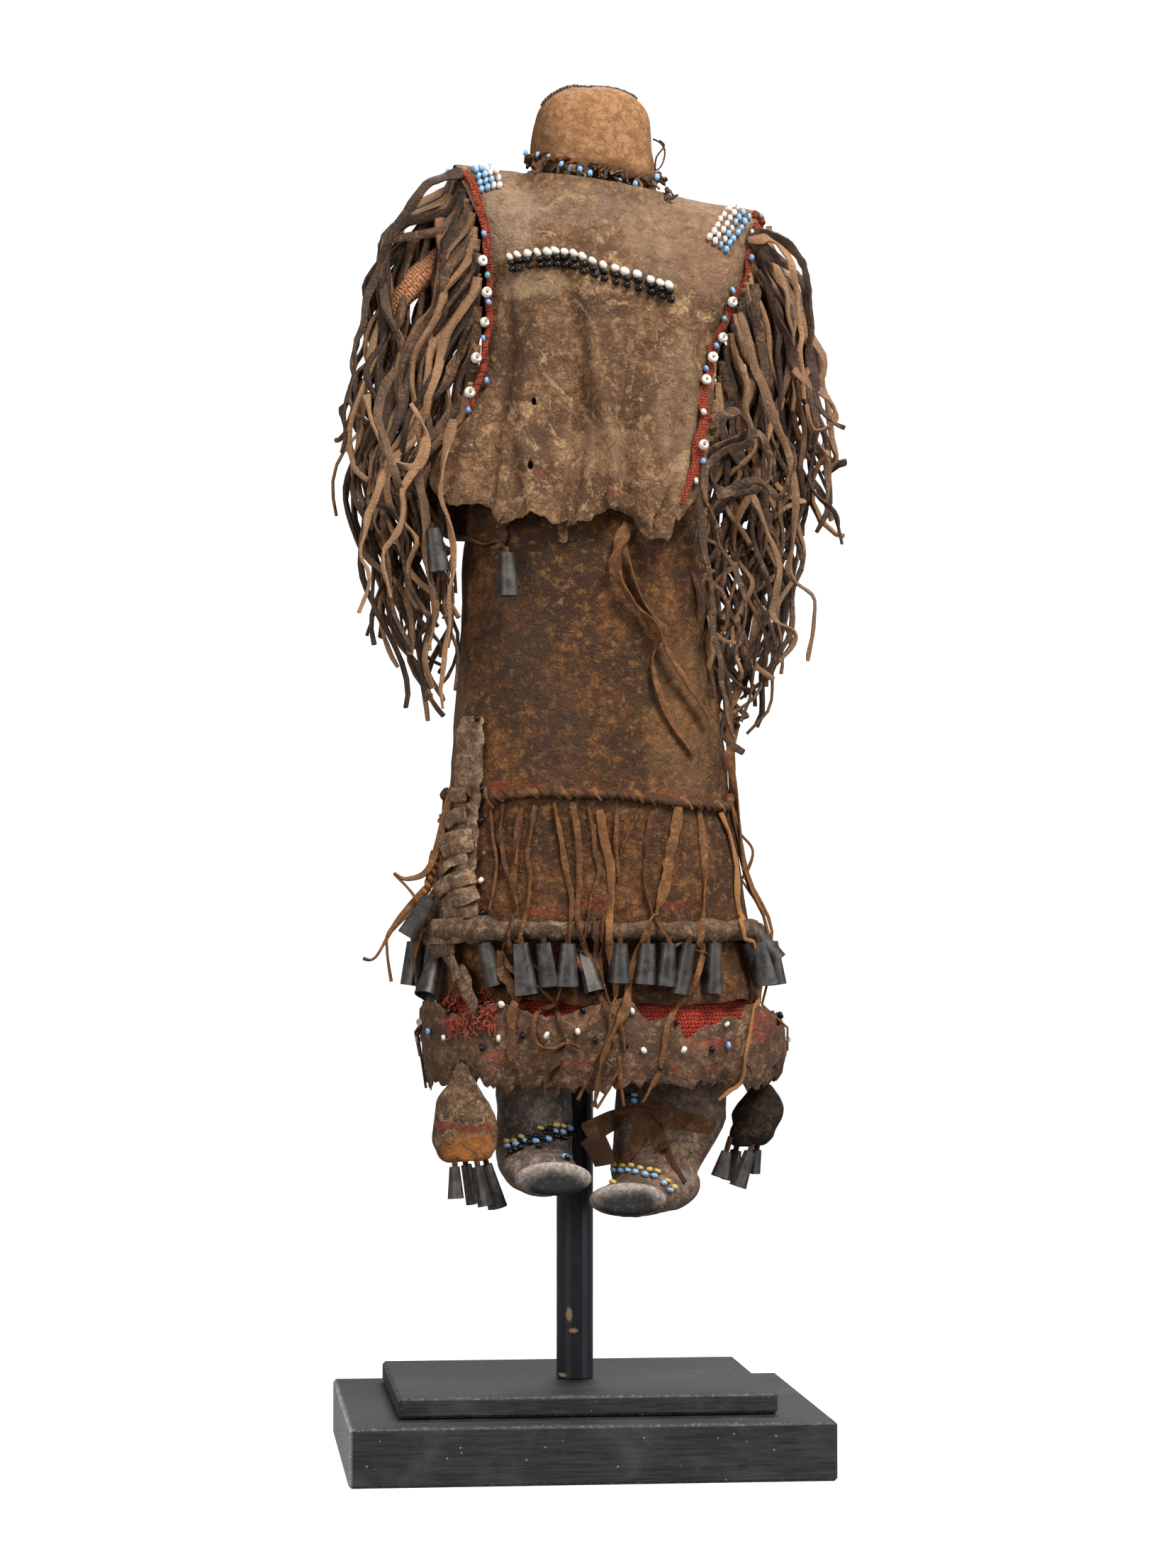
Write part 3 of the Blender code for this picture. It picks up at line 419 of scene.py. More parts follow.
SOOT = (0.035, 0.022, 0.015)
# The first two zones darken the head's left and right sides with painted shade where they turn from the light; the
# last two darken bands across its top and bottom.
head_hide = hide(
    "head suede", (0.335, 0.172, 0.080), (0.185, 0.085, 0.034), (0.47, 0.28, 0.145), 55, 0.46, 0.66, 260, 0.86,
    (((0.13, 0.062, 0.028), 0.9, (-15, -4, 352), (13, 30, 34)),
     ((0.13, 0.062, 0.028), 0.8, (27, -4, 356), (10, 30, 34)), ((0.14, 0.07, 0.03), 0.7, (5, -6, 383), (30, 30, 9)),
     ((0.12, 0.06, 0.03), 0.8, (5, -10, 346), (30, 30, 7))),
    relief=0.4,
)
cape_hide = hide(
    "cape hide", (0.225, 0.120, 0.060), (0.088, 0.046, 0.025), (0.47, 0.29, 0.15), 62, 0.50, 0.59, 190, 0.84,
    (((0.33, 0.21, 0.13), 0.55, (30, -14, 330), (26, 40, 22)), (SOOT, 0.28, (-22, -18, 306), (10, 30, 22)),
     (SOOT, 0.22, (2, -22, 306), (18, 30, 10)), ((0.27, 0.18, 0.12), 0.45, (0, -18, 338), (30, 30, 9)),
     ((0.36, 0.25, 0.165), 0.6, (-22, -14, 335), (14, 30, 16)),
     ((0.42, 0.25, 0.13), 0.45, (4, -24, 271), (16, 30, 10)), (RED, 0.35, (-35.4, -20, 267.5), (3.5, 40, 3.5)),
     (RED, 0.4, (-4, -24, 260), (2.6, 40, 2.4)), (RED, 0.22, (-14.7, -24, 264.4), (6, 40, 2)),
     (RED, 0.2, (9.4, -24, 260), (5, 40, 2.5)), ((0.16, 0.045, 0.03), 0.28, (31, -14, 322), (11, 30, 10)),
     ((0.36, 0.24, 0.14), 0.6, (-14, -18, 316), (12, 40, 5)), ((0.30, 0.19, 0.11), 0.5, (26, -22, 280), (8, 30, 30))),
)
skirt_hide = hide(
    "skirt hide", (0.150, 0.060, 0.021), (0.048, 0.024, 0.013), (0.40, 0.205, 0.068), 50, 0.50, 0.690, 150, 0.74,
    (((0.045, 0.027, 0.018), 0.75, (-18, -20, 222), (14, 40, 26)),
     ((0.05, 0.03, 0.02), 0.6, (-6, -20, 195), (10, 40, 22)),
     ((0.22, 0.115, 0.05), 0.5, (28, -18, 200), (14, 40, 34)), (RED, 0.6, (-20, -30, 181.6), (12, 60, 1.6)),
     (RED, 0.5, (2, -30, 180.2), (9, 60, 1.4)), (RED, 0.5, (24, -30, 178.8), (16, 60, 1.4)),
     (RED, 0.6, (3, -34, 149.4), (9, 60, 2.0)), (RED, 0.5, (-13, -34, 147.8), (8, 60, 1.2)),
     (RED, 0.45, (23, -34, 149.6), (9, 60, 1.3)), ((0.17, 0.10, 0.06), 0.6, (-34, -6, 180), (10, 30, 50))),
)
flap_hide = hide(
    "dusty flap hide", (0.300, 0.180, 0.108), (0.105, 0.062, 0.038), (0.46, 0.32, 0.21), 130, 0.50, 0.58, 260, 0.9,
)
welt_hide = hide(
    "welt hide", (0.195, 0.116, 0.070), (0.070, 0.043, 0.027), (0.38, 0.25, 0.16), 110, 0.50, 0.60, 200, 0.9,
)
thong_hide = hide(
    "thong hide", (0.175, 0.070, 0.025), (0.060, 0.028, 0.015), (0.34, 0.155, 0.056), 140, 0.50, 0.60, 300, 0.70,
    tone=True, relief=0.4,
)
fringe_hide = hide(
    "fringe hide", (0.150, 0.068, 0.031), (0.044, 0.024, 0.014), (0.38, 0.205, 0.10), 130, 0.51, 0.59, 300, 0.62,
    tone=True, relief=0.5, gloss=0.3,
)
under_hide = hide(
    "underskirt hide", (0.205, 0.102, 0.055), (0.080, 0.045, 0.028), (0.40, 0.26, 0.15), 110, 0.52, 0.62, 220, 0.82,
    ((RED, 0.5, (-24, -34, 109.6), (6, 40, 1.5)), (RED, 0.45, (-3, -34, 107.6), (7, 40, 1.2)),
     ((0.20, 0.05, 0.03), 0.3, (-25, -30, 118), (20, 70, 3)),
     (RED, 0.6, (33, -30, 112.5), (9, 40, 2.2)), (RED, 0.65, (23.5, -38, 106.6), (2.4, 30, 1.1)),
     (RED, 0.65, (28.5, -38, 105.0), (2.4, 30, 1.1)), (RED, 0.65, (33.5, -38, 106.4), (2.4, 30, 1.1)),
     (RED, 0.65, (38, -38, 105.0), (2.2, 30, 1.1)), (RED, 0.6, (48, -26, 117), (6, 30, 6)),
     (RED, 0.5, (-21.5, -34, 108), (3, 40, 0.9)), (RED, 0.5, (-12, -34, 108), (3, 40, 0.9)),
     (RED, 0.5, (-34, -28, 118), (6, 40, 3))),
)
boot_hide = hide(
    "boot hide", (0.215, 0.150, 0.115), (0.066, 0.045, 0.035), (0.42, 0.31, 0.24), 120, 0.51, 0.61, 260, 0.60,
    relief=0.55, gloss=0.3,
)
boot_hide_right = hide(
    "paler boot hide", (0.225, 0.130, 0.082), (0.070, 0.043, 0.029), (0.40, 0.27, 0.17), 100, 0.51, 0.60, 220, 0.66,
    (((0.18, 0.035, 0.028), 0.75, (35, -20, 80), (3, 20, 6)), ((0.17, 0.17, 0.18), 0.6, (28, -30, 77), (3.5, 20, 3)),
     ((0.17, 0.035, 0.028), 0.6, (32, -30, 72), (1.6, 20, 4)), ((0.15, 0.10, 0.04), 0.6, (28, -20, 92), (16, 30, 4))),
    relief=0.55, gloss=0.25,
)
pouch_hide = hide(
    "pouch hide", (0.180, 0.100, 0.052), (0.062, 0.037, 0.023), (0.38, 0.26, 0.155), 120, 0.51, 0.60, 240, 0.84,
    (((0.38, 0.130, 0.030), 0.95, (-30, -32, 83.5), (12, 30, 8)),
     ((0.20, 0.03, 0.02), 0.9, (-37, -30, 91.6), (4, 30, 1.2)),
     ((0.20, 0.03, 0.02), 0.9, (-31, -30, 90.6), (4, 30, 1.2)),
     ((0.20, 0.03, 0.02), 0.9, (-26, -30, 91.4), (3.4, 30, 1.2))),
)
dark_pouch_hide = hide(
    "dark pouch hide", (0.044, 0.024, 0.014), (0.013, 0.008, 0.006), (0.12, 0.065, 0.030), 140, 0.5, 0.63, 240, 0.8,
)
print("hide finishes:", sum("hide" in m.name or "suede" in m.name for m in bpy.data.materials))

# %% [markdown]
# ## Other finishes
# Black painted wood shows a faint grain, dust in its corners and paint rubbed off along its edges. The rod is
# smoother. Trade beads are glassy, the cones are tarnished tin, and the red cloth is a coarse plain weave.

# %% Paint, metal and glass


def painted_wood(name, low, high, chips):
    """Black paint on wood whose box runs from low to high: worn at its edges, dusty on top, bare at one end."""
    made, recipe, shader = material(name)
    where = recipe.where()
    x, y, z = recipe.parts(where)
    streak = recipe.noise(recipe.stretched(where, (14, 60, 260)), 6.0, 7, 0.7, 0.4)
    fine = recipe.noise(where, 900.0, 5, 0.7)
    colour = recipe.mix(recipe.step(streak, 0.35, 0.7), (0.014, 0.013, 0.014), (0.034, 0.032, 0.034))
    dust = recipe.noise(where, 55.0, 6, 0.65, 0.5)
    colour = recipe.mix(recipe.math("MULTIPLY", recipe.step(dust, 0.45, 0.8), 0.35), colour, (0.10, 0.095, 0.092))
    gaps = []
    for axis, one, other in ((x, low.x, high.x), (y, low.y, high.y), (z, low.z, high.z)):
        near = recipe.math("MINIMUM", recipe.math("SUBTRACT", axis, one), recipe.math("SUBTRACT", other, axis))
        gaps.append(near)
    least = recipe.math("MINIMUM", recipe.math("MAXIMUM", gaps[0], gaps[2]), recipe.math("MAXIMUM", gaps[1], gaps[2]))
    ragged = recipe.math("MULTIPLY", recipe.math("SUBTRACT", fine, 0.45), 0.0030)
    edge = recipe.step(recipe.math("ADD", least, ragged), 0.0009, 0.0002)
    colour = recipe.mix(recipe.math("MULTIPLY", edge, 0.55), colour, (0.16, 0.15, 0.145))
    specks = recipe.step(recipe.cells(where, 260.0), 0.085, 0.05)
    colour = recipe.mix(recipe.math("MULTIPLY", specks, 0.7), colour, (0.30, 0.28, 0.26))
    if chips:
        pitted = recipe.math("MULTIPLY", recipe.step(recipe.noise(where, 700.0, 6, 0.8), 0.60, 0.68),
                             recipe.step(recipe.noise(recipe.stretched(where, (60, 60, 10)), 1.0, 3), 0.47, 0.6))
        sides = recipe.step(gaps[2], 0.0, 0.0012)
        colour = recipe.mix(recipe.math("MULTIPLY", pitted, sides), colour, (0.24, 0.225, 0.21))
    end = recipe.step(recipe.math("SUBTRACT", x, low.x), 0.0012, 0.0003)
    bare = recipe.mix(recipe.step(recipe.noise(recipe.stretched(where, (10, 40, 500)), 3.0, 6, 0.7), 0.3, 0.7),
                      (0.20, 0.19, 0.18), (0.46, 0.44, 0.42))
    colour = recipe.mix(recipe.math("MULTIPLY", end, 0.0 if chips else 0.85), colour, bare)
    recipe.plug(colour, shader.inputs["Base Color"])
    recipe.plug(recipe.step(recipe.math("ADD", dust, streak), -0.4, 2.2), shader.inputs["Roughness"])
    shader.inputs["Specular IOR Level"].default_value = 0.3
    relief = recipe.math("ADD", recipe.math("MULTIPLY", streak, 0.5), recipe.math("MULTIPLY", fine, 0.3))
    bump(recipe, shader, relief, 0.35, 0.0005)
    return made


def rod_paint():
    made, recipe, shader = material("satin black rod")
    where = recipe.where()
    cloud = recipe.noise(where, 120.0, 5, 0.65)
    colour = recipe.mix(cloud, (0.006, 0.006, 0.007), (0.018, 0.018, 0.022))
    for centre, reach in (((-2.0, -5, 39), (1.1, 3, 2.6)), ((-0.8, -5, 34.6), (1.9, 3, 0.9)),
                          ((-4, -4, 22.5), (2, 3, 0.7))):
        colour = recipe.mix(zone(recipe, where, centre, reach, 0.5), colour, (0.30, 0.20, 0.11))
    recipe.plug(colour, shader.inputs["Base Color"])
    recipe.plug(recipe.step(cloud, -0.6, 1.9), shader.inputs["Roughness"])
    shader.inputs["Specular IOR Level"].default_value = 0.3
    bump(recipe, shader, cloud, 0.1, 0.0004)
    return made


def bead_glass(name, tint, soil=0.35, coat=0.3):
    made, recipe, shader = material(name)
    where = recipe.where()
    grime = recipe.step(recipe.noise(where, 700.0, 5, 0.7), 0.48, 0.72)
    colour = recipe.mix(recipe.math("MULTIPLY", grime, soil), tint, (0.10, 0.07, 0.045))
    recipe.plug(colour, shader.inputs["Base Color"])
    recipe.plug(recipe.math("ADD", recipe.math("MULTIPLY", grime, 0.35), 0.16), shader.inputs["Roughness"])
    shader.inputs["Coat Weight"].default_value = coat
    shader.inputs["Coat Roughness"].default_value = 0.12
    shader.inputs["Specular IOR Level"].default_value = 0.2 + coat
    return made


def tin_finish():
    made, recipe, shader = material("tarnished tin")
    where = recipe.where()
    cloud = recipe.noise(where, 260.0, 6, 0.7, 0.4)
    scratch = recipe.noise(recipe.stretched(where, (900, 900, 90)), 1.0, 5, 0.7)
    colour = recipe.mix(recipe.step(cloud, 0.35, 0.7), (0.034, 0.029, 0.026), (0.105, 0.092, 0.080))
    colour = recipe.mix(recipe.math("MULTIPLY", recipe.step(scratch, 0.60, 0.74), 0.4), colour, (0.22, 0.19, 0.165))
    recipe.plug(colour, shader.inputs["Base Color"])
    recipe.plug(recipe.math("ADD", recipe.math("MULTIPLY", cloud, 0.35), 0.33), shader.inputs["Roughness"])
    shader.inputs["Metallic"].default_value = 0.6
    bump(recipe, shader, cloud, 0.25, 0.0003)
    return made


# %% [markdown]
# Cloth needs its threads to run round the doll and down it, so each cloth piece has its own map in
# millimetres, and the weave counts its threads on that map.

# %% Cloth
weave_recipe, given, end = shader_group(
    "plain weave", (("Map", "Vector", None), ("Threads", "Float", 1.5)), (("Height", "Float"), ("Fuzz", "Float"))
)
w = weave_recipe
u, v, _ = w.parts(given["Map"])
wander = w.math("MULTIPLY", w.math("SUBTRACT", w.noise(given["Map"], 0.6, 3), 0.5), 1.6)
across = w.math("MULTIPLY", w.math("ADD", u, wander), w.math("MULTIPLY", given["Threads"], math.pi))
upward = w.math("MULTIPLY", w.math("ADD", v, wander), w.math("MULTIPLY", given["Threads"], math.pi))
weft = w.math("ABSOLUTE", w.math("SINE", upward))
warp = w.math("ABSOLUTE", w.math("SINE", across))
over = w.step(w.math("MULTIPLY", w.math("COSINE", upward), w.math("COSINE", across)), -0.3, 0.3)
threads = w.math("ADD", w.math("MULTIPLY", weft, over), w.math("MULTIPLY", warp, w.math("SUBTRACT", 1.0, over)))
fuzz = w.noise(given["Map"], 7.0, 5, 0.75)
w.plug(w.math("ADD", threads, w.math("MULTIPLY", fuzz, 0.35)), end.inputs["Height"])
w.plug(fuzz, end.inputs["Fuzz"])
weave_group = w.tree


def cloth(name, thread, shade, soil, threads):
    made, recipe, shader = material(name)
    mapped = recipe.add("ShaderNodeUVMap", uv_map="thread").outputs["UV"]
    out = recipe.group(weave_group, Map=mapped, Threads=threads)
    colour = recipe.mix(recipe.step(out["Height"], 0.25, 0.95), shade, thread)
    dirt = recipe.step(recipe.noise(recipe.where(), 160.0, 6, 0.7, 0.4), 0.46, 0.70)
    colour = recipe.mix(recipe.math("MULTIPLY", dirt, 0.4), colour, soil)
    recipe.plug(colour, shader.inputs["Base Color"])
    recipe.plug(recipe.math("ADD", recipe.math("MULTIPLY", out["Fuzz"], 0.1), 0.86), shader.inputs["Roughness"])
    shader.inputs["Specular IOR Level"].default_value = 0.15
    bump(recipe, shader, out["Height"], 0.9, 0.0007)
    return made


red_cloth = cloth("red wool cloth", (0.44, 0.050, 0.030), (0.09, 0.010, 0.007), (0.16, 0.05, 0.03), 0.95)
braid_cloth = cloth("brick red braid", (0.40, 0.070, 0.036), (0.10, 0.018, 0.012), (0.13, 0.055, 0.035), 1.3)
knit_cloth = cloth("knitted arm cloth", (0.58, 0.255, 0.125), (0.22, 0.080, 0.040), (0.30, 0.17, 0.10), 1.1)
tin = tin_finish()
BEADS = {
    "white": bead_glass("white bead", (0.72, 0.66, 0.58), 0.3),
    "light blue": bead_glass("light blue bead", (0.22, 0.40, 0.62)),
    "blue": bead_glass("blue bead", (0.16, 0.33, 0.60)),
    "teal": bead_glass("teal bead", (0.10, 0.30, 0.30)),
    "black": bead_glass("black bead", (0.003, 0.003, 0.004), 0.06, 0.1),
    "yellow": bead_glass("yellow bead", (0.55, 0.36, 0.09)),
    "brown": bead_glass("brown bead", (0.10, 0.035, 0.02)),
}
print("bead colours:", ", ".join(BEADS))

# %% [markdown]
# ## The stand
# The two slabs and the rod are rigid and already right in the solids, so they stay and only take a finish.

# %% Stand
for name, chips in (("base_block", False), ("base_plinth", True)):
    low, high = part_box(name)
    nodes[name].data.materials.clear()
    nodes[name].data.materials.append(painted_wood("black paint on " + name, Vector(low), Vector(high), chips))
nodes["support_rod"].data.materials.clear()
nodes["support_rod"].data.materials.append(rod_paint())
print("stand finished:", ", ".join(n for n in nodes if "base" in n or "rod" in n))

# %% [markdown]
# ## From solids to soft hide
# A soft piece starts as a copy of its solid, so its place and outline are certain. Its loose triangles are
# merged and paired into quads, a subdivision surface rounds them, and the new points are pushed by
# smooth noise. The push always points away from the doll's middle line, so that both skins of a thin hide move
# together and the wall keeps its thickness.

# %% Refining helper


def refined(name, levels, push=None):
    """A finer copy of a CAD node's mesh. Push takes a point and its normal, and returns its new place."""
    mesh = bmesh.new()
    mesh.from_mesh(nodes[name].data)
    bmesh.ops.remove_doubles(mesh, verts=mesh.verts, dist=0.00002)
    bmesh.ops.join_triangles(
        mesh, faces=mesh.faces, angle_face_threshold=0.6, angle_shape_threshold=1.2, topology_influence=0.4
    )
    cage = bpy.data.objects.new(name + "_cage", mesh_data(mesh, name + "_cage"))
    bpy.context.collection.objects.link(cage)
    smooth = cage.modifiers.new("smooth", "SUBSURF")
    smooth.levels = smooth.render_levels = levels
    fine = bpy.data.meshes.new_from_object(cage.evaluated_get(bpy.context.evaluated_depsgraph_get()))
    bpy.data.objects.remove(cage)
    if push:
        places = [push(v.co.copy(), v.normal.copy()) for v in fine.vertices]
        for vert, place in zip(fine.vertices, places):
            vert.co = place
        fine.update()
    return fine


def piece(name, data, finish, slot, *stands_for, angle=60):
    """A finished object from a mesh, riding on the doll and standing for its CAD nodes."""
    if isinstance(data, bmesh.types.BMesh):
        data = mesh_data(data, name)
    data.name = name
    data.shade_smooth()
    data.set_sharp_from_angle(angle=math.radians(angle))
    if data.materials:
        data.materials.clear()
    for one in finish if isinstance(finish, (list, tuple)) else (finish,):
        data.materials.append(one)
    obj = bpy.data.objects.new(name, data)
    bpy.context.collection.objects.link(obj)
    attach(obj, "root")
    if stands_for:
        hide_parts(*stands_for)
    data.calc_loop_triangles()
    print(name, len(data.loop_triangles), "triangles")
    return obj


def outward(point):
    """The level direction from the doll's middle line through a point."""
    away = Vector((point.x - AXIS_X, point.y * 1.4, 0))
    return away.normalized() if away.length > 1e-6 else Vector((0, -1, 0))


def rumple(point, size, seed=0.0):
    """Smooth noise between about -1 and 1, with lumps of this size in metres."""
    return noise.noise(point / size + Vector((seed, seed * 0.37, seed * 1.7)))


def thread_map(data, rule):
    """Gives a mesh its thread map. The rule turns a point into u and v, in millimetres."""
    layer = data.uv_layers.new(name="thread")
    for loop in data.loops:
        layer.data[loop.index].uv = rule(data.vertices[loop.vertex_index].co)


# %% [markdown]
# ## Head, neck and trunk
# The head is a faceless stuffed knob. Its hide is drawn over the stuffing and gathered in a seam along the
# top, so it is dented there and slightly flattened in front.

# %% Head


def stuff(point, normal):
    lumps = rumple(point, 0.011, 3) * 0.0007 + rumple(point, 0.004, 8) * 0.00022
    if point.z > 0.373:
        lumps += rumple(point, 0.0022, 5) * 0.0004
    return point + normal * (lumps - 0.0002)


piece("doll_body", refined("stuffed_body", 3, stuff), head_hide, "tan_hide", "stuffed_body")

# %% [markdown]
# ## Cape
# The cape is one hide with a hole for the neck. It hangs in shallow upright folds below the bead row, is
# creased at the viewer's left, worn through in two small holes, and torn to a ragged edge at the hem, where
# the hide curls outwards. The photograph doesn't show how it was cut: its flat size of 92 by 205 mm, with the
# middle on the shoulders, is worked out from this form.

# %% Cape


def bulge_right(point):
    """The cape's right edge stands further out beside the arm."""
    inside = max(0.0, min(1.0, (point.x - 0.016) / 0.014))
    return 0.0040 * inside * max(0.0, min(1.0, (point.z - 0.244) / 0.016, (0.350 - point.z) / 0.020))


# The front's upright folds, as x, width and depth in millimetres
FOLDS = ((-12, 5, 1.0), (-3, 4, -1.3), (5, 4.5, 1.2), (14, 5, -1.2), (22, 4, 1.1), (-23, 4, -1.0))


def hang(point, normal):
    low = max(0.0, min(1.0, (0.335 - point.z) / 0.05))
    sway = 0.0
    if point.y < 0:
        for x, width, depth in FOLDS:
            drift = x * MM + 0.003 * math.sin(point.z * 60 + x)
            sway += depth * math.exp(-(((point.x - drift) / (width * MM * 0.5)) ** 2))
    else:
        sway = 1.2 * math.sin(point.x * 320 + point.z * 25)
    lumps = rumple(point, 0.014, 1) * 0.0011 + rumple(point, 0.0055, 4) * 0.0006
    moved = point + outward(point) * (sway * MM * 2.7 * low + lumps + 0.0004)
    hem = max(0.0, min(1.0, (0.262 - point.z) / 0.012))
    moved.x += bulge_right(point)
    torn = noise.noise(Vector((point.x * 420, point.y * 40, 2))) + 0.6 * noise.noise(Vector((point.x * 900, 3, 1)))
    moved.z += hem * torn * 0.0021
    moved += outward(point) * (hem * hem * (0.0012 + 0.0024 * noise.noise(Vector((point.x * 260, 0, 9)))))
    return moved


cape_mesh = refined("cape", 3, hang)
holed = bpy.data.objects.new("cape_uncut", cape_mesh)
bpy.context.collection.objects.link(holed)
punch = bmesh.new()
for x, z, size in ((-13.4, 284, 0.9), (-14.6, 266.6, 1.0)):
    place = Matrix.Translation((x * MM, -0.024, z * MM)) @ Matrix.Rotation(math.pi / 2, 4, "X")
    bmesh.ops.create_cone(
        punch, cap_ends=True, segments=9, radius1=size * MM, radius2=size * MM, depth=0.03,
        matrix=place @ Matrix.Diagonal((0.8, 1.25, 1, 1)),
    )
holes = bpy.data.objects.new("holes", mesh_data(punch, "holes"))
bpy.context.collection.objects.link(holes)
cut = holed.modifiers.new("worn holes", "BOOLEAN")
cut.operation = "DIFFERENCE"
cut.solver = "EXACT"
cut.object = holes
cut_mesh = bpy.data.meshes.new_from_object(holed.evaluated_get(bpy.context.evaluated_depsgraph_get()))
for done in (holed, holes):
    bpy.data.objects.remove(done)
cape = piece("hide_cape", cut_mesh, cape_hide, "cape_hide", "cape")

# %% [markdown]
# ## Skirt, underskirt and cloth band
# The skirt's upper tier is one dark hide, stiff and nearly flat, with a dented surface. The lower tier flares
# below it and has a pinked hem. Between them a band of coarse red cloth shows.

# %% Skirts


def stiff(point, normal):
    lumps = rumple(point, 0.019, 11) * 0.0009 + rumple(point, 0.006, 12) * 0.0004
    seam = math.exp(-(((point.x - 0.0395) / 0.003) ** 2)) * (0.0012 if point.y < 0 else 0)
    moved = point + outward(point) * (lumps + seam)
    low = max(0.0, min(1.0, (0.129 - point.z) / 0.005))
    moved.z -= low * (0.0003 + 0.0018 * noise.noise(Vector((point.x * 160, point.y * 120, 6))))
    return moved


# The underskirt's upper edge in front, as x and height in millimetres: two deep scallops at the right
SCALLOPS = (
    (-45, 124.2), (-30, 123.6), (-14.2, 122.6), (-8, 123.6), (-3.2, 124.3), (9.9, 124.8), (12.1, 123.5), (14, 120.0),
    (16.1, 118.5), (18.9, 119.4), (22, 121.2), (24.1, 120.1), (26.5, 115.8), (28.6, 118.2), (30.6, 120.4),
    (33.8, 120.9), (36.8, 121.8), (39, 121.0), (41.1, 118.7), (43, 122.6), (52, 123.4),
)


def top_edge(point):
    """How much higher or lower than its solid the upper edge is, in metres."""
    if point.y > 0:
        return 0.001
    x = point.x / MM
    for (x0, z0), (x1, z1) in zip(SCALLOPS, SCALLOPS[1:]):
        if x0 <= x <= x1:
            return (z0 + (z1 - z0) * (x - x0) / (x1 - x0) - 118.9) * MM
    return 0.001


def flare(point, normal):
    turn = math.atan2(point.x - AXIS_X, -point.y)
    low = max(0.0, min(1.0, (0.117 - point.z) / 0.016))
    lumps = rumple(point, 0.010, 21) * 0.0012 + rumple(point, 0.004, 22) * 0.0005
    moved = point + outward(point) * (lumps + low * 0.0012 * math.sin(turn * 13))
    if point.z < 0.106:
        moved.z += 0.0030 * noise.noise(Vector((turn * 17, 0, 0))) + 0.0016 * noise.noise(Vector((turn * 45, 3, 0)))
    high = max(0.0, min(1.0, (point.z - 0.1085) / 0.008))
    moved.z += high * (top_edge(point) + 0.0008 * noise.noise(Vector((turn * 30, 4, 0))))
    return moved


def soft(point, normal):
    return point + outward(point) * (rumple(point, 0.009, 31) * 0.0007)


skirt = piece("hide_skirt", refined("skirt", 3, stiff), skirt_hide, "skirt_hide", "skirt")
underskirt = piece("hide_underskirt", refined("underskirt", 3, flare), under_hide, "skirt_hide", "underskirt")
BAND_RADIUS = 0.042
band_mesh = refined("red_cloth_band", 2, soft)
thread_map(band_mesh, lambda p: (math.atan2(p.x - AXIS_X, -p.y) * BAND_RADIUS / MM, p.z / MM))
cloth_band = piece("cloth_band", band_mesh, red_cloth, "red_cloth", "red_cloth_band")

# %% [markdown]
# ## Overlap at the side
# At the viewer's left the skirt overlaps itself and is pulled up into a stack of short folds, like slit tabs
# lying over one another. A ripple down the length of the copied flap makes them.

# %% Side flap


def gather(point, normal):
    step = (point.z * 1000 / 6.4 + 1.3 * noise.noise(Vector((point.x * 90, 0, point.z * 70)))) % 1.0
    fold = 0.0007 * step ** 1.6 - 0.0003
    moved = point + outward(point) * (fold + rumple(point, 0.004, 41) * 0.0004 + 0.0006)
    moved.x += 0.0007 * noise.noise(Vector((point.z * 220, point.y * 60, 3)))
    return moved


piece("gathered_flap", refined("skirt_side_flap", 3, gather), flap_hide, "skirt_hide", "skirt_side_flap")


def fuzzy(point, normal):
    lumps = 0.0005 * rumple(point, 0.0018, 51) + 0.0016 * rumple(point, 0.006, 52)
    left = max(0.0, min(1.0, (-0.018 - point.x) / 0.008)) if point.y < 0 else 0.0
    return point + normal * (0.0007 + 0.0006 * left + lumps) - UP * 0.0029


piece("rolled_welt", refined("skirt_welt_lower", 2, fuzzy), welt_hide, "skirt_hide", "skirt_welt_lower")

# %% [markdown]
# ## Boots and pouches
# The soft boots are dark and greasy. Their oval toe ends are flat, nearly black and polished in front, with a
# grey rim that is partly wear and partly a painted highlight along the top. The pouches are stuffed drops of
# hide with a stitched red line.

# %% Boots and pouches


def worn_boot(point, normal):
    if point.x > 0.012:  # the right boot's loose top leans out to the right
        high = max(0.0, min(1.0, (point.z - 0.077) / 0.014))
        point = point + Vector((high * (0.0060 + (point.x - 0.0265) * 0.2), 0, 0))
    return point + normal * (rumple(point, 0.008, 61) * 0.0006 + rumple(point, 0.003, 62) * 0.0002 + 0.0001)


def sole_finish(name, centre):
    made, recipe, shader = material(name)
    where = recipe.where()
    inside = zone(recipe, where, centre - Vector((0, 0, 1.4)), (12.6, 30, 5.6), 0.2)
    grain = recipe.noise(where, 800.0, 6, 0.7)
    # The grey rim is partly wear and partly painted highlight; the zone's lowered centre makes it widest along the
    # top.
    worn = recipe.mix(recipe.step(grain, 0.3, 0.7), (0.14, 0.11, 0.09), (0.44, 0.36, 0.30))
    black = recipe.mix(recipe.step(grain, 0.5, 0.75), (0.016, 0.014, 0.013), (0.085, 0.075, 0.068))
    colour = recipe.mix(inside, worn, black)
    recipe.plug(colour, shader.inputs["Base Color"])
    recipe.plug(recipe.math("SUBTRACT", 0.8, recipe.math("MULTIPLY", inside, 0.42)), shader.inputs["Roughness"])
    bump(recipe, shader, grain, 0.4, 0.0005)
    return made


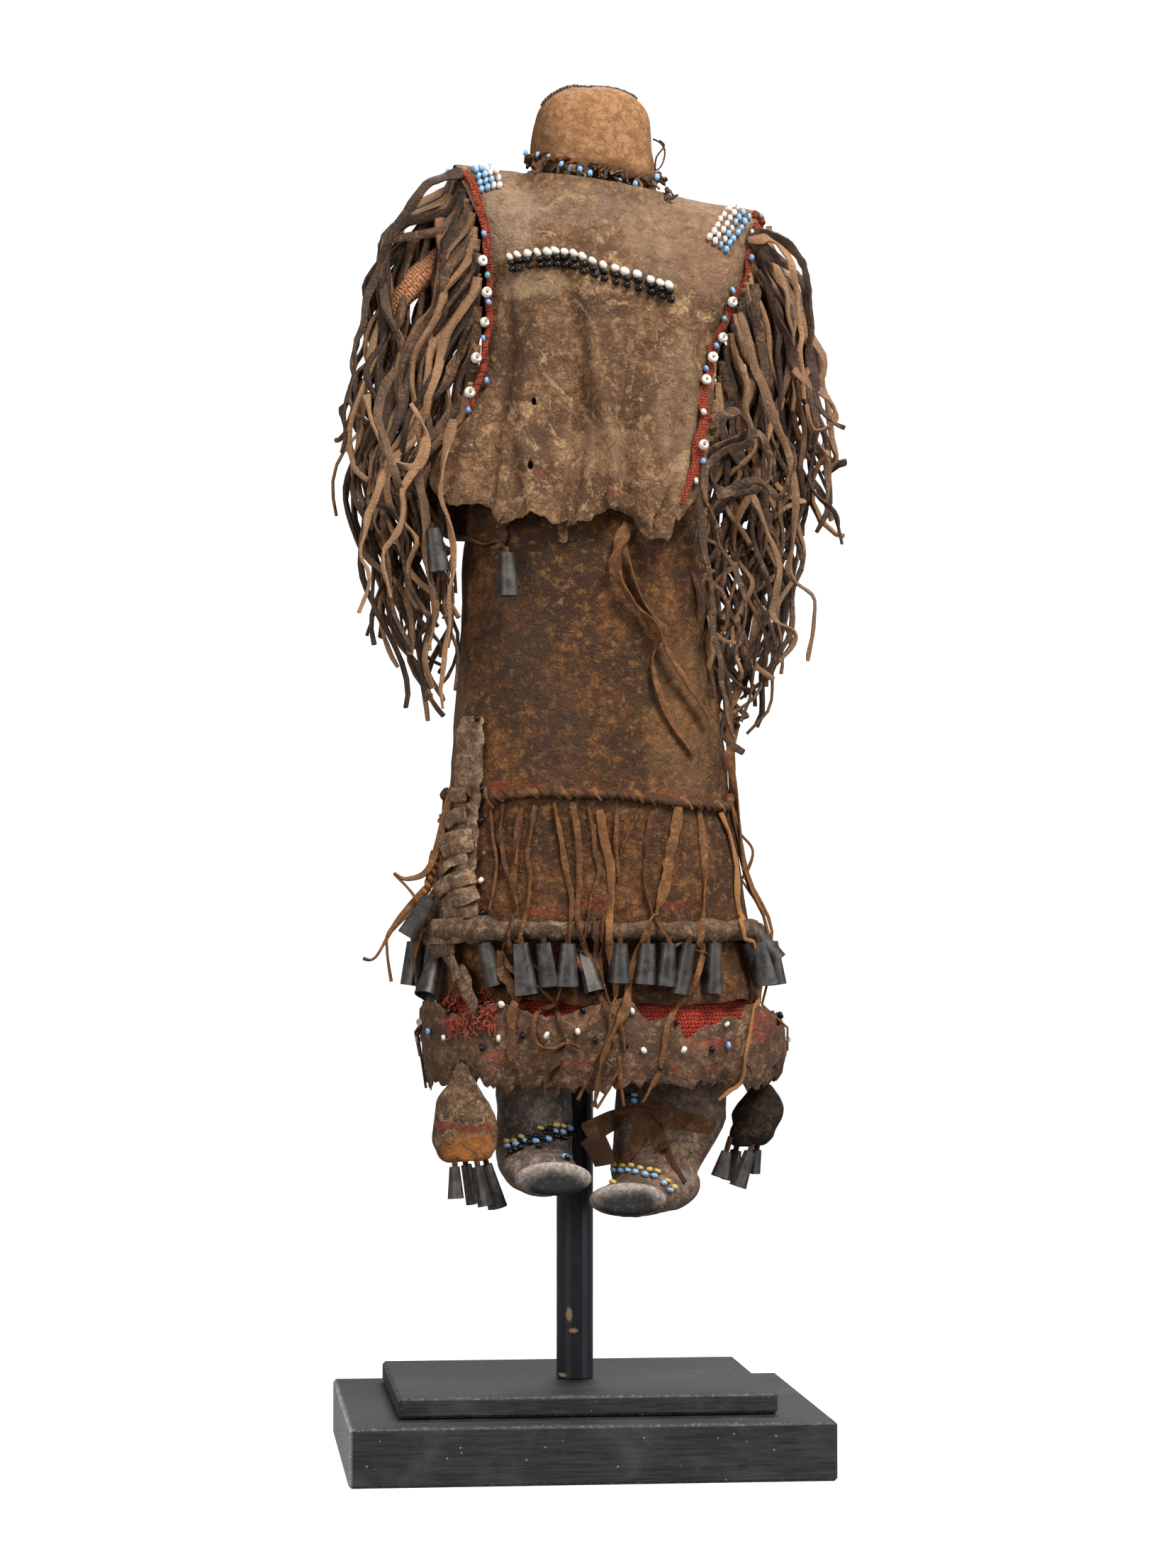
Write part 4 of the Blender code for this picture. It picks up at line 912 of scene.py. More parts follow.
for side, finish in (("left", boot_hide), ("right", boot_hide_right)):
    piece("soft_boot_" + side, refined("boot_" + side, 3, worn_boot), finish, "boot_hide", "boot_" + side)
    low, high = (Vector(corner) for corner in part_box("toe_sole_" + side))
    middle = (low + high) / 2 / MM
    sole = sole_finish("toe with wear and painted highlight " + side, middle)
    back = (low.y + high.y) / 2
    # The toe end's rear half reaches back to the boot, whose tip the subdivision has drawn in
    grown = refined("toe_sole_" + side, 2, lambda p, n: p + Vector((0, 0.0026 if p.y > back else 0, 0)) + n * 0.0003)
    piece("toe_end_" + side, grown, sole, "boot_hide", "toe_sole_" + side)


def sagging(point, normal):
    return point + normal * (rumple(point, 0.007, 71) * 0.0008 + rumple(point, 0.0025, 72) * 0.0003)


piece("drop_pouch_left", refined("pouch_left", 3, sagging), pouch_hide, "pouch_hide", "pouch_left")
low, high = (Vector(corner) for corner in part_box("pouch_right"))
tip = max((v.co for v in nodes["pouch_right"].data.vertices), key=lambda p: p.z)
base = (low + high) / 2


def full(point, normal):
    """The right pouch stays wide up to its folded top, which the hem covers."""
    t = (point.z - low.z) / (high.z - low.z)
    share = max(0.0, t - 0.40)
    lean = base.lerp(tip, max(0.0, (t - 0.4) / 0.6))
    moved = sagging(point, normal)
    moved.x = base.x + 0.3 * (lean.x - base.x) + (moved.x - lean.x) * (1 + 1.9 * share)
    moved.y = base.y + 0.5 * (lean.y - base.y) + (moved.y - lean.y) * (1 + 1.2 * share)
    moved.z += 0.003 * share
    return moved


piece("drop_pouch_right", refined("pouch_right", 3, full), dark_pouch_hide, "pouch_hide", "pouch_right")

# %% [markdown]
# ## Arms
# The short arms are stuffed tubes of knitted cloth, tied at the end. Their map runs along the arm.

# %% Arms
for side in ("left", "right"):
    arm_mesh = refined("arm_" + side, 2, lambda p, n: p + n * rumple(p, 0.005, 81) * 0.0005)
    thread_map(arm_mesh, lambda p: ((abs(p.x) - p.z) * 700, (p.y + abs(p.x) * 0.4 + p.z * 0.4) * 1000))
    piece("cloth_arm_" + side, arm_mesh, knit_cloth, "knit_cloth", "arm_" + side)

# %% [markdown]
# ## Placing things where the photograph shows them
# Beads, thongs and stitches lie on surfaces that have just been rumpled. A ray from the camera through a point
# of the photograph finds the place on the hide that this point shows, and the same test from the side serves
# for the parts that the camera can't see.

# %% Finding the surface
PHOTO_WIDTH, PHOTO_HEIGHT = 1659, 2212  # pixels
SENSOR = 36  # millimetres along the longer side
FOCAL = camera_data.lens / SENSOR * PHOTO_HEIGHT
up_view = UP * math.cos(TILT) - ahead * math.sin(TILT)
into_view = ahead * math.cos(TILT) + UP * math.sin(TILT)


def surface_of(*names):
    """One search tree over finished pieces, by name."""
    mesh = bmesh.new()
    for name in names:
        mesh.from_mesh(bpy.data.objects[name].data)
    tree = BVHTree.FromBMesh(mesh)
    mesh.free()
    return tree


def ray_through(px, py):
    """The direction from the camera through a pixel of the photograph."""
    return (into_view * FOCAL + aside * (px - PHOTO_WIDTH / 2) + up_view * (PHOTO_HEIGHT / 2 - py)).normalized()


def seen(tree, px, py, lift=0.0, fallback=-0.03, cling=False):
    """The point that the photograph shows at this pixel, lifted off the surface in millimetres.

    A point beside the surface hangs free at the fallback depth, or clings to the nearest place on it.
    """
    way = ray_through(px, py)
    hit, normal, _, _ = tree.ray_cast(camera.location, way)
    if hit is None:
        hit = camera.location + way * ((fallback - camera.location.y) / way.y)
        if not cling:
            return hit, Vector((0, -1, 0))
        hit, normal, _, _ = tree.find_nearest(hit)
    if normal.dot(way) > 0:
        normal = -normal
    return hit + normal * lift * MM, normal


def around(tree, turn, z, lift=0.0):
    """The point of a surface at a turn round the doll, 0 in front, and at a height in millimetres."""
    away = Vector((math.sin(turn), -math.cos(turn), 0))
    start = Vector((AXIS_X, 0, z * MM)) + away * 0.2
    hit, normal, _, _ = tree.ray_cast(start, -away)
    if hit is None:
        return Vector((AXIS_X, 0, z * MM)) + away * 0.03, away
    return hit + away * lift * MM, away


clothes = surface_of("hide_cape", "hide_skirt", "hide_underskirt", "cloth_band", "gathered_flap", "doll_body")
print("clothes tree ready")

# %% [markdown]
# ## Strips of hide
# Fringe, thongs and ties are all narrow strips that bend, twist and taper. A strip starts as a flat six-sided
# end, and the end face is extruded from point to point along a smooth path. Each strip carries a tone, which
# its material reads, so that neighbours differ as real strips do.

# %% Strip helper
chance = random.Random(7)


def flow(points, steps):
    """A smooth path through a few points, with this many steps between each two."""
    path = []
    for i in range(len(points) - 1):
        before = points[max(i - 1, 0)]
        after = points[min(i + 2, len(points) - 1)]
        one, other = points[i], points[i + 1]
        for k in range(steps):
            t = k / steps
            lean_in, lean_out = (other - before) / 2, (after - one) / 2
            a, b = (2 * t**3 - 3 * t * t + 1), (t**3 - 2 * t * t + t)
            c, d = (-2 * t**3 + 3 * t * t), (t**3 - t * t)
            path.append(one * a + lean_in * b + other * c + lean_out * d)
    return path + [points[-1]]


def add_strip(mesh, path, width, thickness, facing=(0, -1, 0), twist=0.0, taper=0.5, tone=0.5, sides=6, start=0.8,
              ragged=0.0):
    """Draws a strip along a path. Width and thickness are in millimetres, twist in radians over its length."""
    own = bmesh.new()
    facing = Vector(facing)
    places = []
    last = len(path) - 1
    seed = chance.uniform(0, 500)
    for i, point in enumerate(path):
        along = (path[min(i + 1, last)] - path[max(i - 1, 0)]).normalized()
        side = along.cross(facing)
        side = side.normalized() if side.length > 1e-4 else places[-1].col[0].to_3d().normalized()
        front = side.cross(along).normalized()
        share = i / last
        swell = min(1.0, start + share * 4) * (1 - (1 - taper) * share)
        swell *= 1 + ragged * noise.noise(Vector((i * 0.45, seed, 0)))
        turned = Matrix.Rotation(twist * share + 5 * ragged * noise.noise(Vector((i * 0.16, seed, 7))), 3, along)
        side, front = turned @ side, turned @ front
        frame3 = Matrix((side * width * MM * swell, front * thickness * MM * (0.6 + 0.4 * swell), along)).transposed()
        places.append(Matrix.Translation(point) @ frame3.to_4x4())
    made = bmesh.ops.create_circle(own, cap_ends=True, segments=sides, radius=0.5, matrix=places[0])
    face = made["verts"][0].link_faces[0]
    for one, other in zip(places, places[1:]):
        face = bmesh.ops.extrude_discrete_faces(own, faces=[face])["faces"][0]
        bmesh.ops.transform(own, matrix=other @ one.inverted(), verts=face.verts)
    bmesh.ops.holes_fill(own, edges=own.edges, sides=sides)
    bmesh.ops.recalc_face_normals(own, faces=own.faces)
    layer = own.verts.layers.float.new("tone")
    for vert in own.verts:
        vert[layer] = tone
    pour(own, mesh)


def pixels(tree, points, lift, fallback=-0.03):
    """Points of the photograph on a surface, with lifts in millimetres, one for all or one each."""
    lifts = lift if isinstance(lift, (list, tuple)) else [lift] * len(points)
    placed = []
    for (px, py), rise in zip(points, lifts):
        point, _ = seen(tree, px, py, rise, fallback)
        placed.append(point)
        fallback = point.y
    return placed


def laid(tree, points, lift, steps, fallback=-0.03):
    """A smooth path over a surface through the photograph's points."""
    return flow(pixels(tree, points, lift, fallback), steps)


def pixel_line(points, steps):
    """The photograph's points with a smooth line between them, still in pixels."""
    return [(p.x, p.y) for p in flow([Vector(p).to_3d() for p in points], steps)]


def stray(*reaches):
    """A random step, with the least and the most along each axis in millimetres."""
    return Vector([chance.uniform(least, most) for least, most in reaches]) * MM


def wisp(start, *reaches):
    """Four points of a short strand that strays at random from its start."""
    bits = [start]
    for _ in range(3):
        bits.append(bits[-1] + stray(*reaches))
    return bits


# %% [markdown]
# ## Fringe
# A fringe of cut hide runs over each shoulder and down both sides of the armhole. The strips spring outwards
# from the seam, fall past the short arm and tangle below it. Each strip keeps to its own lane between the
# inner and the outer edge of the hanging mass, and it wanders, curls and twists on the way, the more the lower
# it gets. A few strips are laid one by one along listed points where the outline shows them.

# %% Fringe
# For the left and the right side, rows of: height, inner and outer edge of the mass, in millimetres
LANES = {
    -1: ((352, 33, 36), (345, 33, 44), (335, 31, 50), (325, 30, 53.5), (315, 29.5, 56), (300, 29, 58.5),
         (285, 32, 61.5), (270, 42, 63.5), (258, 44, 62), (245, 38, 60), (230, 35, 57), (215, 35, 52), (200, 37, 44)),
    1: ((342, 48, 51), (335, 48, 56), (325, 46, 60), (315, 44.5, 63), (300, 40, 66), (285, 37, 68), (272, 36.5, 71),
        (260, 34, 71), (245, 32, 70), (235, 34, 67), (220, 35, 63), (205, 36, 57), (195, 38, 44)),
}
# The armhole's edge in front, from the shoulder down, as x and height in millimetres
EDGES = {
    -1: ((-33.5, 350), (-32, 345), (-29.5, 336), (-28.5, 324), (-28, 312), (-28.5, 300), (-30.5, 288), (-33, 281)),
    1: ((49.5, 337), (49, 330), (46.5, 321), (43, 310), (38.8, 297), (36.5, 286), (35.5, 272), (32.5, 258)),
}
# The front strips part round the left arm: how far from the middle, at what height and how far up and down
ARM_INSIDE, ARM_OUTSIDE, ARM_HEIGHT, ARM_REACH = 36.5, 52.5, 321, 16


def armhole(side, share, face):
    """A point of the armhole's edge: share 0 on the shoulder, 1 at its low end. Face is -1 in front."""
    edge = EDGES[side]
    place = share * (len(edge) - 1)
    i = min(int(place), len(edge) - 2)
    x, z = (a + (b - a) * (place - i) for a, b in zip(edge[i], edge[i + 1]))
    return Vector((x, face * 15.5 * min(1.0, share * 2.6) ** 0.7, z)) * MM


def lane(side, share, z):
    """How far from the middle a lane runs at a height, all in millimetres."""
    rows = LANES[side]
    for (high, near, far), (low, next_near, next_far) in zip(rows, rows[1:]):
        if z >= low:
            t = min(max((high - z) / (high - low), 0), 1)
            return (near + (next_near - near) * t) * (1 - share) + (far + (next_far - far) * t) * share
    return rows[-1][1] * (1 - share) + rows[-1][2] * share


def fall(side, face, root, share, low, curl):
    """The path of one strip from its root down to a height."""
    top = root.z / MM
    steps = max(10, round((top - low) / 2.6))
    seed, layer = chance.uniform(0, 300), chance.uniform(-3.5, 3.5)
    start, rounds = chance.uniform(0, 6.28), chance.uniform(1.2, 3.4) * chance.choice((-1, 1))
    path = []
    for i in range(steps + 1):
        t = i / steps
        z = top + (low - top) * t
        own = share + 0.22 * noise.noise(Vector((z / 17, seed, 0))) * min(1, t * 3)
        x = lane(side, min(max(own, -0.05), 1.04), z)
        drop = min(1.0, (top - z) / (12 + 0.8 * abs(x - abs(root.x / MM))))
        x = abs(root.x / MM) + (x - abs(root.x / MM)) * drop * drop * (3 - 2 * drop)
        if side < 0 and face < 0 and ARM_INSIDE + 0.5 < x < ARM_OUTSIDE:
            beside = ARM_OUTSIDE if share > 0.6 else ARM_INSIDE
            x += (beside - x) * math.exp(-(((z - ARM_HEIGHT) / ARM_REACH) ** 4))
        y = root.y / MM * (1 - 0.45 * drop) + (layer + 3.5 * noise.noise(Vector((z / 15, seed, 5)))) * drop
        swing, angle = curl * t**1.3, start + rounds * 6.28 * t**1.4
        wave = (math.cos(angle) - math.cos(start), 0.7 * math.sin(angle * 1.3), math.sin(angle) - math.sin(start))
        path.append((Vector((side * x, y, z)) + Vector(wave) * swing) * MM)
    return path


def fringe(name, side, counts, lows, by_hand, node):
    """One side's fringe.

    Counts are the strips in front and behind. Lows are the least and the most height of an inner strip's end and
    the least of an outer one's. By_hand holds the width and the photograph's points of each strip that shows.
    """
    mesh = bmesh.new()
    for face, count in zip((-1, 1), counts):
        for i in range(count):
            at = 0.92 * ((i + chance.uniform(0.1, 0.9)) / count) ** 1.7
            root = armhole(side, at, face) + Vector((-side * 0.4 * MM, chance.uniform(-0.8, 0.8) * MM, 0))
            share = min(1.0, max(0.0, (1.08 - 1.45 * at) * chance.uniform(0.30, 1.0) ** 0.7))
            low = chance.uniform(lows[0], lows[1]) if share < 0.8 else chance.uniform(lows[2], lows[2] + 22)
            curl = chance.choice((1.0, 1.6, 2.4, 3.4, 5.0))
            wide = chance.uniform(1.7, 3.8)
            add_strip(
                mesh, fall(side, face, root, share, low, curl), wide, chance.uniform(1.2, 2.2),
                (side * 0.4, face, 0.2), chance.uniform(-4, 4), chance.uniform(0.35, 0.65),
                chance.uniform(0, 0.85), ragged=0.45,
            )
    for width, points in by_hand:
        spots = pixels(cape_tree, points, 2.5, -0.02)
        if points[0][1] < SHOULDER_LOW:
            spots[0] = seen(cape_tree, *points[0], 1.2, -0.02, True)[0]
            spots[1].y = (spots[0].y + min(spots[1].y, spots[0].y)) / 2
        path = []
        for p in flow(spots, 7):
            drift = Vector([noise.noise(p / 0.008 + Vector((k, width, 0))) for k in range(3)])
            path.append(p + drift * 1.4 * MM)
        add_strip(
            mesh, path, width, 1.2, (0, -1, 0.2), chance.uniform(-3, 3), 0.4, chance.uniform(0.1, 0.9), ragged=0.45,
        )
    piece(name, mesh, fringe_hide, "strip_hide", node)


cape_tree = surface_of("hide_cape")
SHOULDER_LOW = 350  # a strip that starts above this row of pixels is sewn to the top of the shoulder
fringe(
    "shoulder_fringe_left", -1, (58, 34), (204, 262, 262), (
        (3.4, ((655, 250), (600, 262), (555, 330), (525, 400), (505, 480), (490, 560), (483, 639))),
        (3.2, ((650, 258), (580, 300), (535, 400), (515, 480), (500, 540), (492, 600))),
        (2.8, ((560, 640), (530, 700), (512, 780), (520, 810), (505, 868))),
        (2.8, ((600, 620), (575, 680), (560, 750), (540, 790), (548, 842))),
        (3.4, ((590, 600), (606, 680), (604, 800), (616, 850), (606, 916))),
        (3.0, ((640, 590), (628, 680), (640, 770), (632, 880), (624, 998))),
        (3.0, ((560, 520), (535, 590), (570, 690), (600, 700), (590, 640), (560, 620))),
        (3.0, ((520, 560), (545, 640), (590, 650), (600, 610), (575, 570))),
    ), "fringe_left",
)
fringe(
    "shoulder_fringe_right", 1, (62, 36), (196, 262, 250), (
        (3.4, ((1080, 310), (1098, 326), (1120, 356), (1136, 400), (1144, 460), (1150, 540))),
        (3.0, ((1078, 316), (1092, 334), (1108, 364), (1122, 410), (1130, 480), (1136, 560))),
        (3.0, ((1075, 326), (1084, 346), (1098, 380), (1110, 424), (1116, 500), (1118, 580))),
        (2.6, ((1077, 320), (1088, 340), (1103, 372), (1116, 420), (1124, 490), (1110, 570))),
        (2.6, ((1070, 344), (1076, 366), (1084, 396), (1094, 440), (1100, 520), (1096, 600))),
        (3.4, ((1078, 318), (1125, 380), (1142, 470), (1152, 560), (1170, 590), (1192, 606))),
        (3.2, ((1120, 520), (1165, 560), (1178, 590), (1150, 610), (1140, 570))),
        (3.2, ((1060, 380), (1110, 480), (1150, 600), (1140, 680), (1178, 720), (1187, 770))),
        (3.0, ((1040, 440), (1080, 560), (1122, 680), (1112, 800), (1145, 850), (1140, 930))),
        (3.6, ((1000, 600), (1045, 580), (1060, 620), (1020, 640), (990, 680), (1012, 760), (1050, 840),
               (1036, 925))),
        (3.0, ((985, 700), (1000, 800), (1012, 900), (1022, 985), (1038, 1046))),
        (3.4, ((1000, 640), (1060, 610), (1085, 640), (1070, 690), (1010, 690), (1000, 660))),
        (3.2, ((1010, 700), (1060, 680), (1100, 700), (1120, 650), (1100, 600))),
        (3.2, ((1050, 400), (1080, 560), (1078, 700), (1100, 790), (1080, 880))),
        (2.8, ((1060, 700), (1100, 800), (1090, 860), (1120, 900), (1103, 936))),
    ), "fringe_right",
)

# %% [markdown]
# ## Beads
# A seed bead is a short fat ring of glass. One ring is spun from a small circle and set down hundreds of
# times, so it has few faces. Its hole lies along the thread, and no two beads sit quite alike.

# %% Bead helper
ring = bmesh.new()
loop = bmesh.ops.create_circle(
    ring, segments=6, radius=0.40, matrix=Matrix.Translation((0.60, 0, 0)) @ Matrix.Rotation(math.pi / 2, 4, "X")
)
bmesh.ops.spin(
    ring, geom=loop["verts"] + [e for e in ring.edges], cent=(0, 0, 0), axis=(0, 0, 1), angle=math.tau, steps=9,
    use_merge=True,
)
bmesh.ops.remove_doubles(ring, verts=ring.verts, dist=0.0001)
bmesh.ops.recalc_face_normals(ring, faces=ring.faces)
bead_data = mesh_data(ring, "bead")


def bead_string(name, beads, slot, *stands_for):
    """Beads as rows of: centre, thread direction, width in millimetres, colour."""
    used = sorted({bead[3] for bead in beads})
    mesh = bmesh.new()
    for centre, thread, width, colour in beads:
        grown = bmesh.new()
        grown.from_mesh(bead_data)
        tilt = Vector(thread).normalized() + Vector([chance.uniform(-0.25, 0.25) for _ in range(3)])
        turn = tilt.to_track_quat("Z", "Y").to_matrix().to_4x4()
        size = width * MM / 2 * chance.uniform(0.93, 1.07)
        spread = Matrix.Diagonal((size, size, size * chance.uniform(1.25, 1.6), 1))
        bmesh.ops.transform(grown, matrix=Matrix.Translation(centre) @ turn @ spread, verts=grown.verts)
        for face in grown.faces:
            face.material_index = used.index(colour)
        pour(grown, mesh)
    return piece(name, mesh, [BEADS[c] for c in used], slot, *stands_for, angle=80)


# %% [markdown]
# ## Braid along the armholes
# A red woven braid is stitched down each front edge of the cape, with beads along its outer side. The braid is
# a refined copy of the solid that bends in small waves, and the beads are set where the photograph shows them.

# %% Braid


def wavy(amount):
    """A push for one braid, which sways down its length, follows the cape's edge and gets a little thinner."""
    def push(point, normal):
        wave = amount * MM * math.sin(point.z * 1000 / 2.1) + bulge_right(point) - (0.0012 if point.x < 0 else 0)
        return point + Vector((wave, 0, 0)) + normal * (rumple(point, 0.002, 91) * 0.0003 - 0.00045)

    return push


def braid_rule(point):
    return (point.x + point.y) * 1000, point.z * 1000


for side, amount in (("left", 0.35), ("right", 0.6)):
    braid = refined("cape_trim_" + side, 3, wavy(amount))
    thread_map(braid, braid_rule)
    piece("braid_" + side, braid, braid_cloth, "red_cloth", "cape_trim_" + side)
ends = bmesh.new()
for points in (
    ((657, 247), (668, 262), (674, 280), (680, 300), (683, 316)), ((1060, 304), (1070, 309), (1074, 318)),
):
    add_strip(ends, laid(cape_tree, points, 0.7, 5), 2.4, 1.5, (0, -1, 0), 0.4, 0.9, 0.5, ragged=0.25)
ends_data = mesh_data(ends, "braid_ends")
thread_map(ends_data, braid_rule)
piece("braid_ends", ends_data, braid_cloth, "red_cloth")

trims = surface_of("braid_left", "braid_right", "hide_cape")
big, small = 3.1, 2.0
beads = []
for px, py, width, colour in (
    (685, 332, small, "blue"), (687, 368, big, "white"), (690, 389, small, "teal"), (692, 414, big, "white"),
    (692, 426, small, "light blue"), (689, 455, big, "white"), (686, 479, small, "blue"), (680, 506, big, "white"),
    (673, 529, small, "light blue"), (668, 557, big, "white"), (665, 581, small, "blue"),
    (1070, 309, small, "teal"), (1064, 331, small, "white"), (1056, 365, small, "blue"),
    (1030, 410, small, "light blue"), (1027, 426, big, "white"), (1018, 450, small, "teal"),
    (1014, 477, big, "white"), (1006, 488, small, "blue"), (1001, 508, big, "white"), (992, 522, small, "blue"),
    (989, 537, big, "white"), (988, 582, small, "white"), (989, 630, big, "white"), (989, 652, small, "blue"),
    (981, 680, small, "white"),
):
    centre, _ = seen(trims, px, py, width * 0.6, -0.02, True)
    thread = Vector((1, 0, 0.3)) if width < big else Vector((0.5, -1, 0.2))
    beads.append((centre, thread, width, colour))
bead_string("braid_beads", beads, "bead_glass")

# %% [markdown]
# ## Beads on the cape
# Seventeen short strings of one white and two black beads cross the chest. Each shoulder has a patch of rows
# in white and light blue.

# %% Chest and shoulder beads
STRINGS = 17
beads = []
top_line = pixel_line(((722, 362), (762, 357), (800, 356), (845, 374), (895, 387), (944, 404)), 20)
for i in range(STRINGS):
    left, top = top_line[round(i / (STRINGS - 1) * (len(top_line) - 1))]
    for row in range(3):
        px = left + chance.uniform(-1.2, 1.2) + row * 1.2
        py = top + row * 9.6 + chance.uniform(-1, 1)
        centre, _ = seen(cape_tree, px, py, 0.75, -0.02, True)
        size, tint = (2.3, "black") if row else (2.8, "white")
        beads.append((centre, (0.1, 0, 1) if row else (0.6, -0.3, 0.6), size, tint))
bead_string("chest_bead_row", beads, "bead_glass", "chest_beads")

for name, start, over, down, columns, rows, split, colours in (
    ("left", (670, 234), (8.6, -2.0), (2.2, 8.8), 4, 5, 2, ("light blue", "white")),
    ("right", (1032, 290), (7.6, 6.0), (-5.4, 7.4), 4, 7, 2, ("white", "light blue")),
):
    beads = []
    for row in range(rows):
        for column in range(columns):
            px = start[0] + over[0] * column + down[0] * row + chance.uniform(-1, 1)
            py = start[1] + over[1] * column + down[1] * row + chance.uniform(-1, 1)
            centre, _ = seen(cape_tree, px, py, 0.7, -0.008, True)
            colour = colours[0] if column < split + (row % 2) * chance.choice((0, 1)) else colours[1]
            beads.append((centre, (1, 0, -0.2), 2.2, colour))
    bead_string("shoulder_bead_rows_" + name, beads, "bead_glass", "shoulder_beads_" + name)

# %% [markdown]
# ## Necklace
# Light blue beads hang on a dark, crumbling twisted thread, with dry curls of hide left between them. The
# thread lies on the collar all the way round.

# %% Necklace
neck = surface_of("doll_body", "hide_cape")
thread_mesh = bmesh.new()
curls = bmesh.new()
beads = []
loop_points = []
LOOP = 44
for i in range(LOOP):
    turn = math.tau * i / LOOP
    drop = 351.4 - 2.6 * math.sin(turn) + 0.5 * math.sin(5 * turn)
    if math.cos(turn) > 0:
        drop -= 2.2 * math.cos(turn)
    loop_points.append(around(neck, turn, drop, 0.55)[0])
for strand in (0, 1):
    path = []
    for i in range(3 * LOOP + 1):
        one, other = loop_points[(i // 3) % LOOP], loop_points[(i // 3 + 1) % LOOP]
        point = one.lerp(other, (i % 3) / 3)
        spin = i * 1.15 + strand * math.pi
        wide = (0.75 + 0.25 * math.sin(i * 0.7)) * MM
        path.append(point + outward(point) * wide * math.cos(spin) + UP * wide * math.sin(spin))
    add_strip(thread_mesh, path, 1.4, 1.2, (0, 0, 1), 0, 1.0, 0.4, sides=6, start=1, ragged=0.35)
for px, py, width, colour in (
    (752, 216, 1.9, "light blue"), (766, 219, 1.9, "light blue"), (779, 222, 1.9, "light blue"),
    (794, 228, 2.0, "light blue"), (806, 233, 2.1, "light blue"), (818, 235, 2.2, "blue"),
    (832, 240, 2.1, "light blue"), (845, 246, 1.7, "black"), (873, 252, 2.2, "light blue"), (884, 256, 1.7, "black"),
    (893, 255, 2.1, "light blue"), (908, 258, 1.7, "black"), (928, 250, 2.3, "light blue"), (938, 252, 1.8, "black"),
    (754, 232, 1.6, "black"), (786, 238, 1.6, "black"),
):
    centre, _ = seen(neck, px, py, 2.1, -0.008, True)
    beads.append((centre, (1, 0, -0.25), width, colour))
for i in range(16):
    turn = math.pi * 0.5 + math.pi * (i + 0.5) / 16
    point, _ = around(neck, turn, 350.5, 1.2)
    colour = chance.choice(("light blue", "light blue", "black"))
    beads.append((point, (math.cos(turn), math.sin(turn), 0), 1.9, colour))
for i in range(40):
    px = 750 + i * 4.9 + chance.uniform(-3, 3)
    py = 220 + i * 0.95 + chance.uniform(-6, 9)
    start, _ = seen(neck, px, py, 1.4, -0.008, True)
    bits = wisp(start, (-1.5, 1.5), (-0.9, 0.2), (-1.8, 0.8))
    add_strip(
        curls, flow(bits, 3), chance.uniform(1.1, 2.2), 0.7, (0, -1, 0), chance.uniform(-3, 3), 0.4,
        chance.uniform(0.1, 0.8),
    )
piece("neck_thread", thread_mesh, thong_hide, "strip_hide")
piece("neck_curls", curls, fringe_hide, "strip_hide")
bead_string("necklace_beads", beads, "bead_glass", "necklace")

# %% [markdown]
# ## Seam and thongs across the skirt
# A rolled seam joins the skirt's two hides. Red pigment lies above it, and dark stitches bind it. From under
# it hang thin thongs of orange-brown hide, which cross and curl in front of the lower hide.

# %% Skirt seam
drape_tree = surface_of("hide_cape", "hide_skirt", "hide_underskirt", "cloth_band", "gathered_flap", "rolled_welt")


CONE_ROW, CONE_REACH, CONE_DEPTH = 1370, 36, 3.4  # pixels, pixels and millimetres


def draped(points, lift, steps=5):
    """A path over the clothes that hangs free below what it passes over, also in front of the row of cones."""
    line = pixel_line(points, steps)
    lifts = [lift + CONE_DEPTH * math.exp(-(((py - CONE_ROW) / CONE_REACH) ** 2)) for _, py in line]
    placed = pixels(drape_tree, line, lifts, -0.034)
    for back, share in ((1, 0.22), (-1, 0.7)):
        order = placed[::back]
        for one, other in zip(order, order[1:]):
            other.y = min(other.y, one.y + share * (one - other).length)
    return placed


seam = bmesh.new()
front = pixels(clothes, pixel_line((
    (688, 1119), (698, 1124), (744, 1119), (790, 1119), (835, 1121), (881, 1122), (919, 1128), (957, 1133),
    (992, 1137), (1022, 1140),
), 9), 0.9)
first, last = (math.atan2(p.x - AXIS_X, -p.y) for p in (front[0], front[-1]))
behind = []
for i in range(1, 60):
    behind.append(around(clothes, last + (math.tau + first - last) * i / 60, 178.6 + 1.2 * i / 60, 0.9)[0])
whole = front + behind
add_strip(seam, whole, 3.0, 2.5, (0, 0, 1), 0, 1.0, 0.35, sides=8, start=1, ragged=0.22)
for i in range(0, len(whole) - 2, 3):
    one, other = whole[i:i + 2]
    away, along = outward(one), (other - one).normalized()
    reach = chance.uniform(1.0, 1.9)
    steps = (UP * 1.5 + away * 0.3, away * 1.4 + along * reach, along * reach * 2 - UP * 1.4 + away * 0.3)
    bits = [one + step * MM for step in steps]
    add_strip(
        seam, flow(bits, 3), chance.uniform(0.9, 1.7), 0.7, away, chance.uniform(-0.6, 0.6), 0.8,
        chance.choice((0.1, 0.2, 0.3, 0.6)), sides=5, start=0.7,
    )
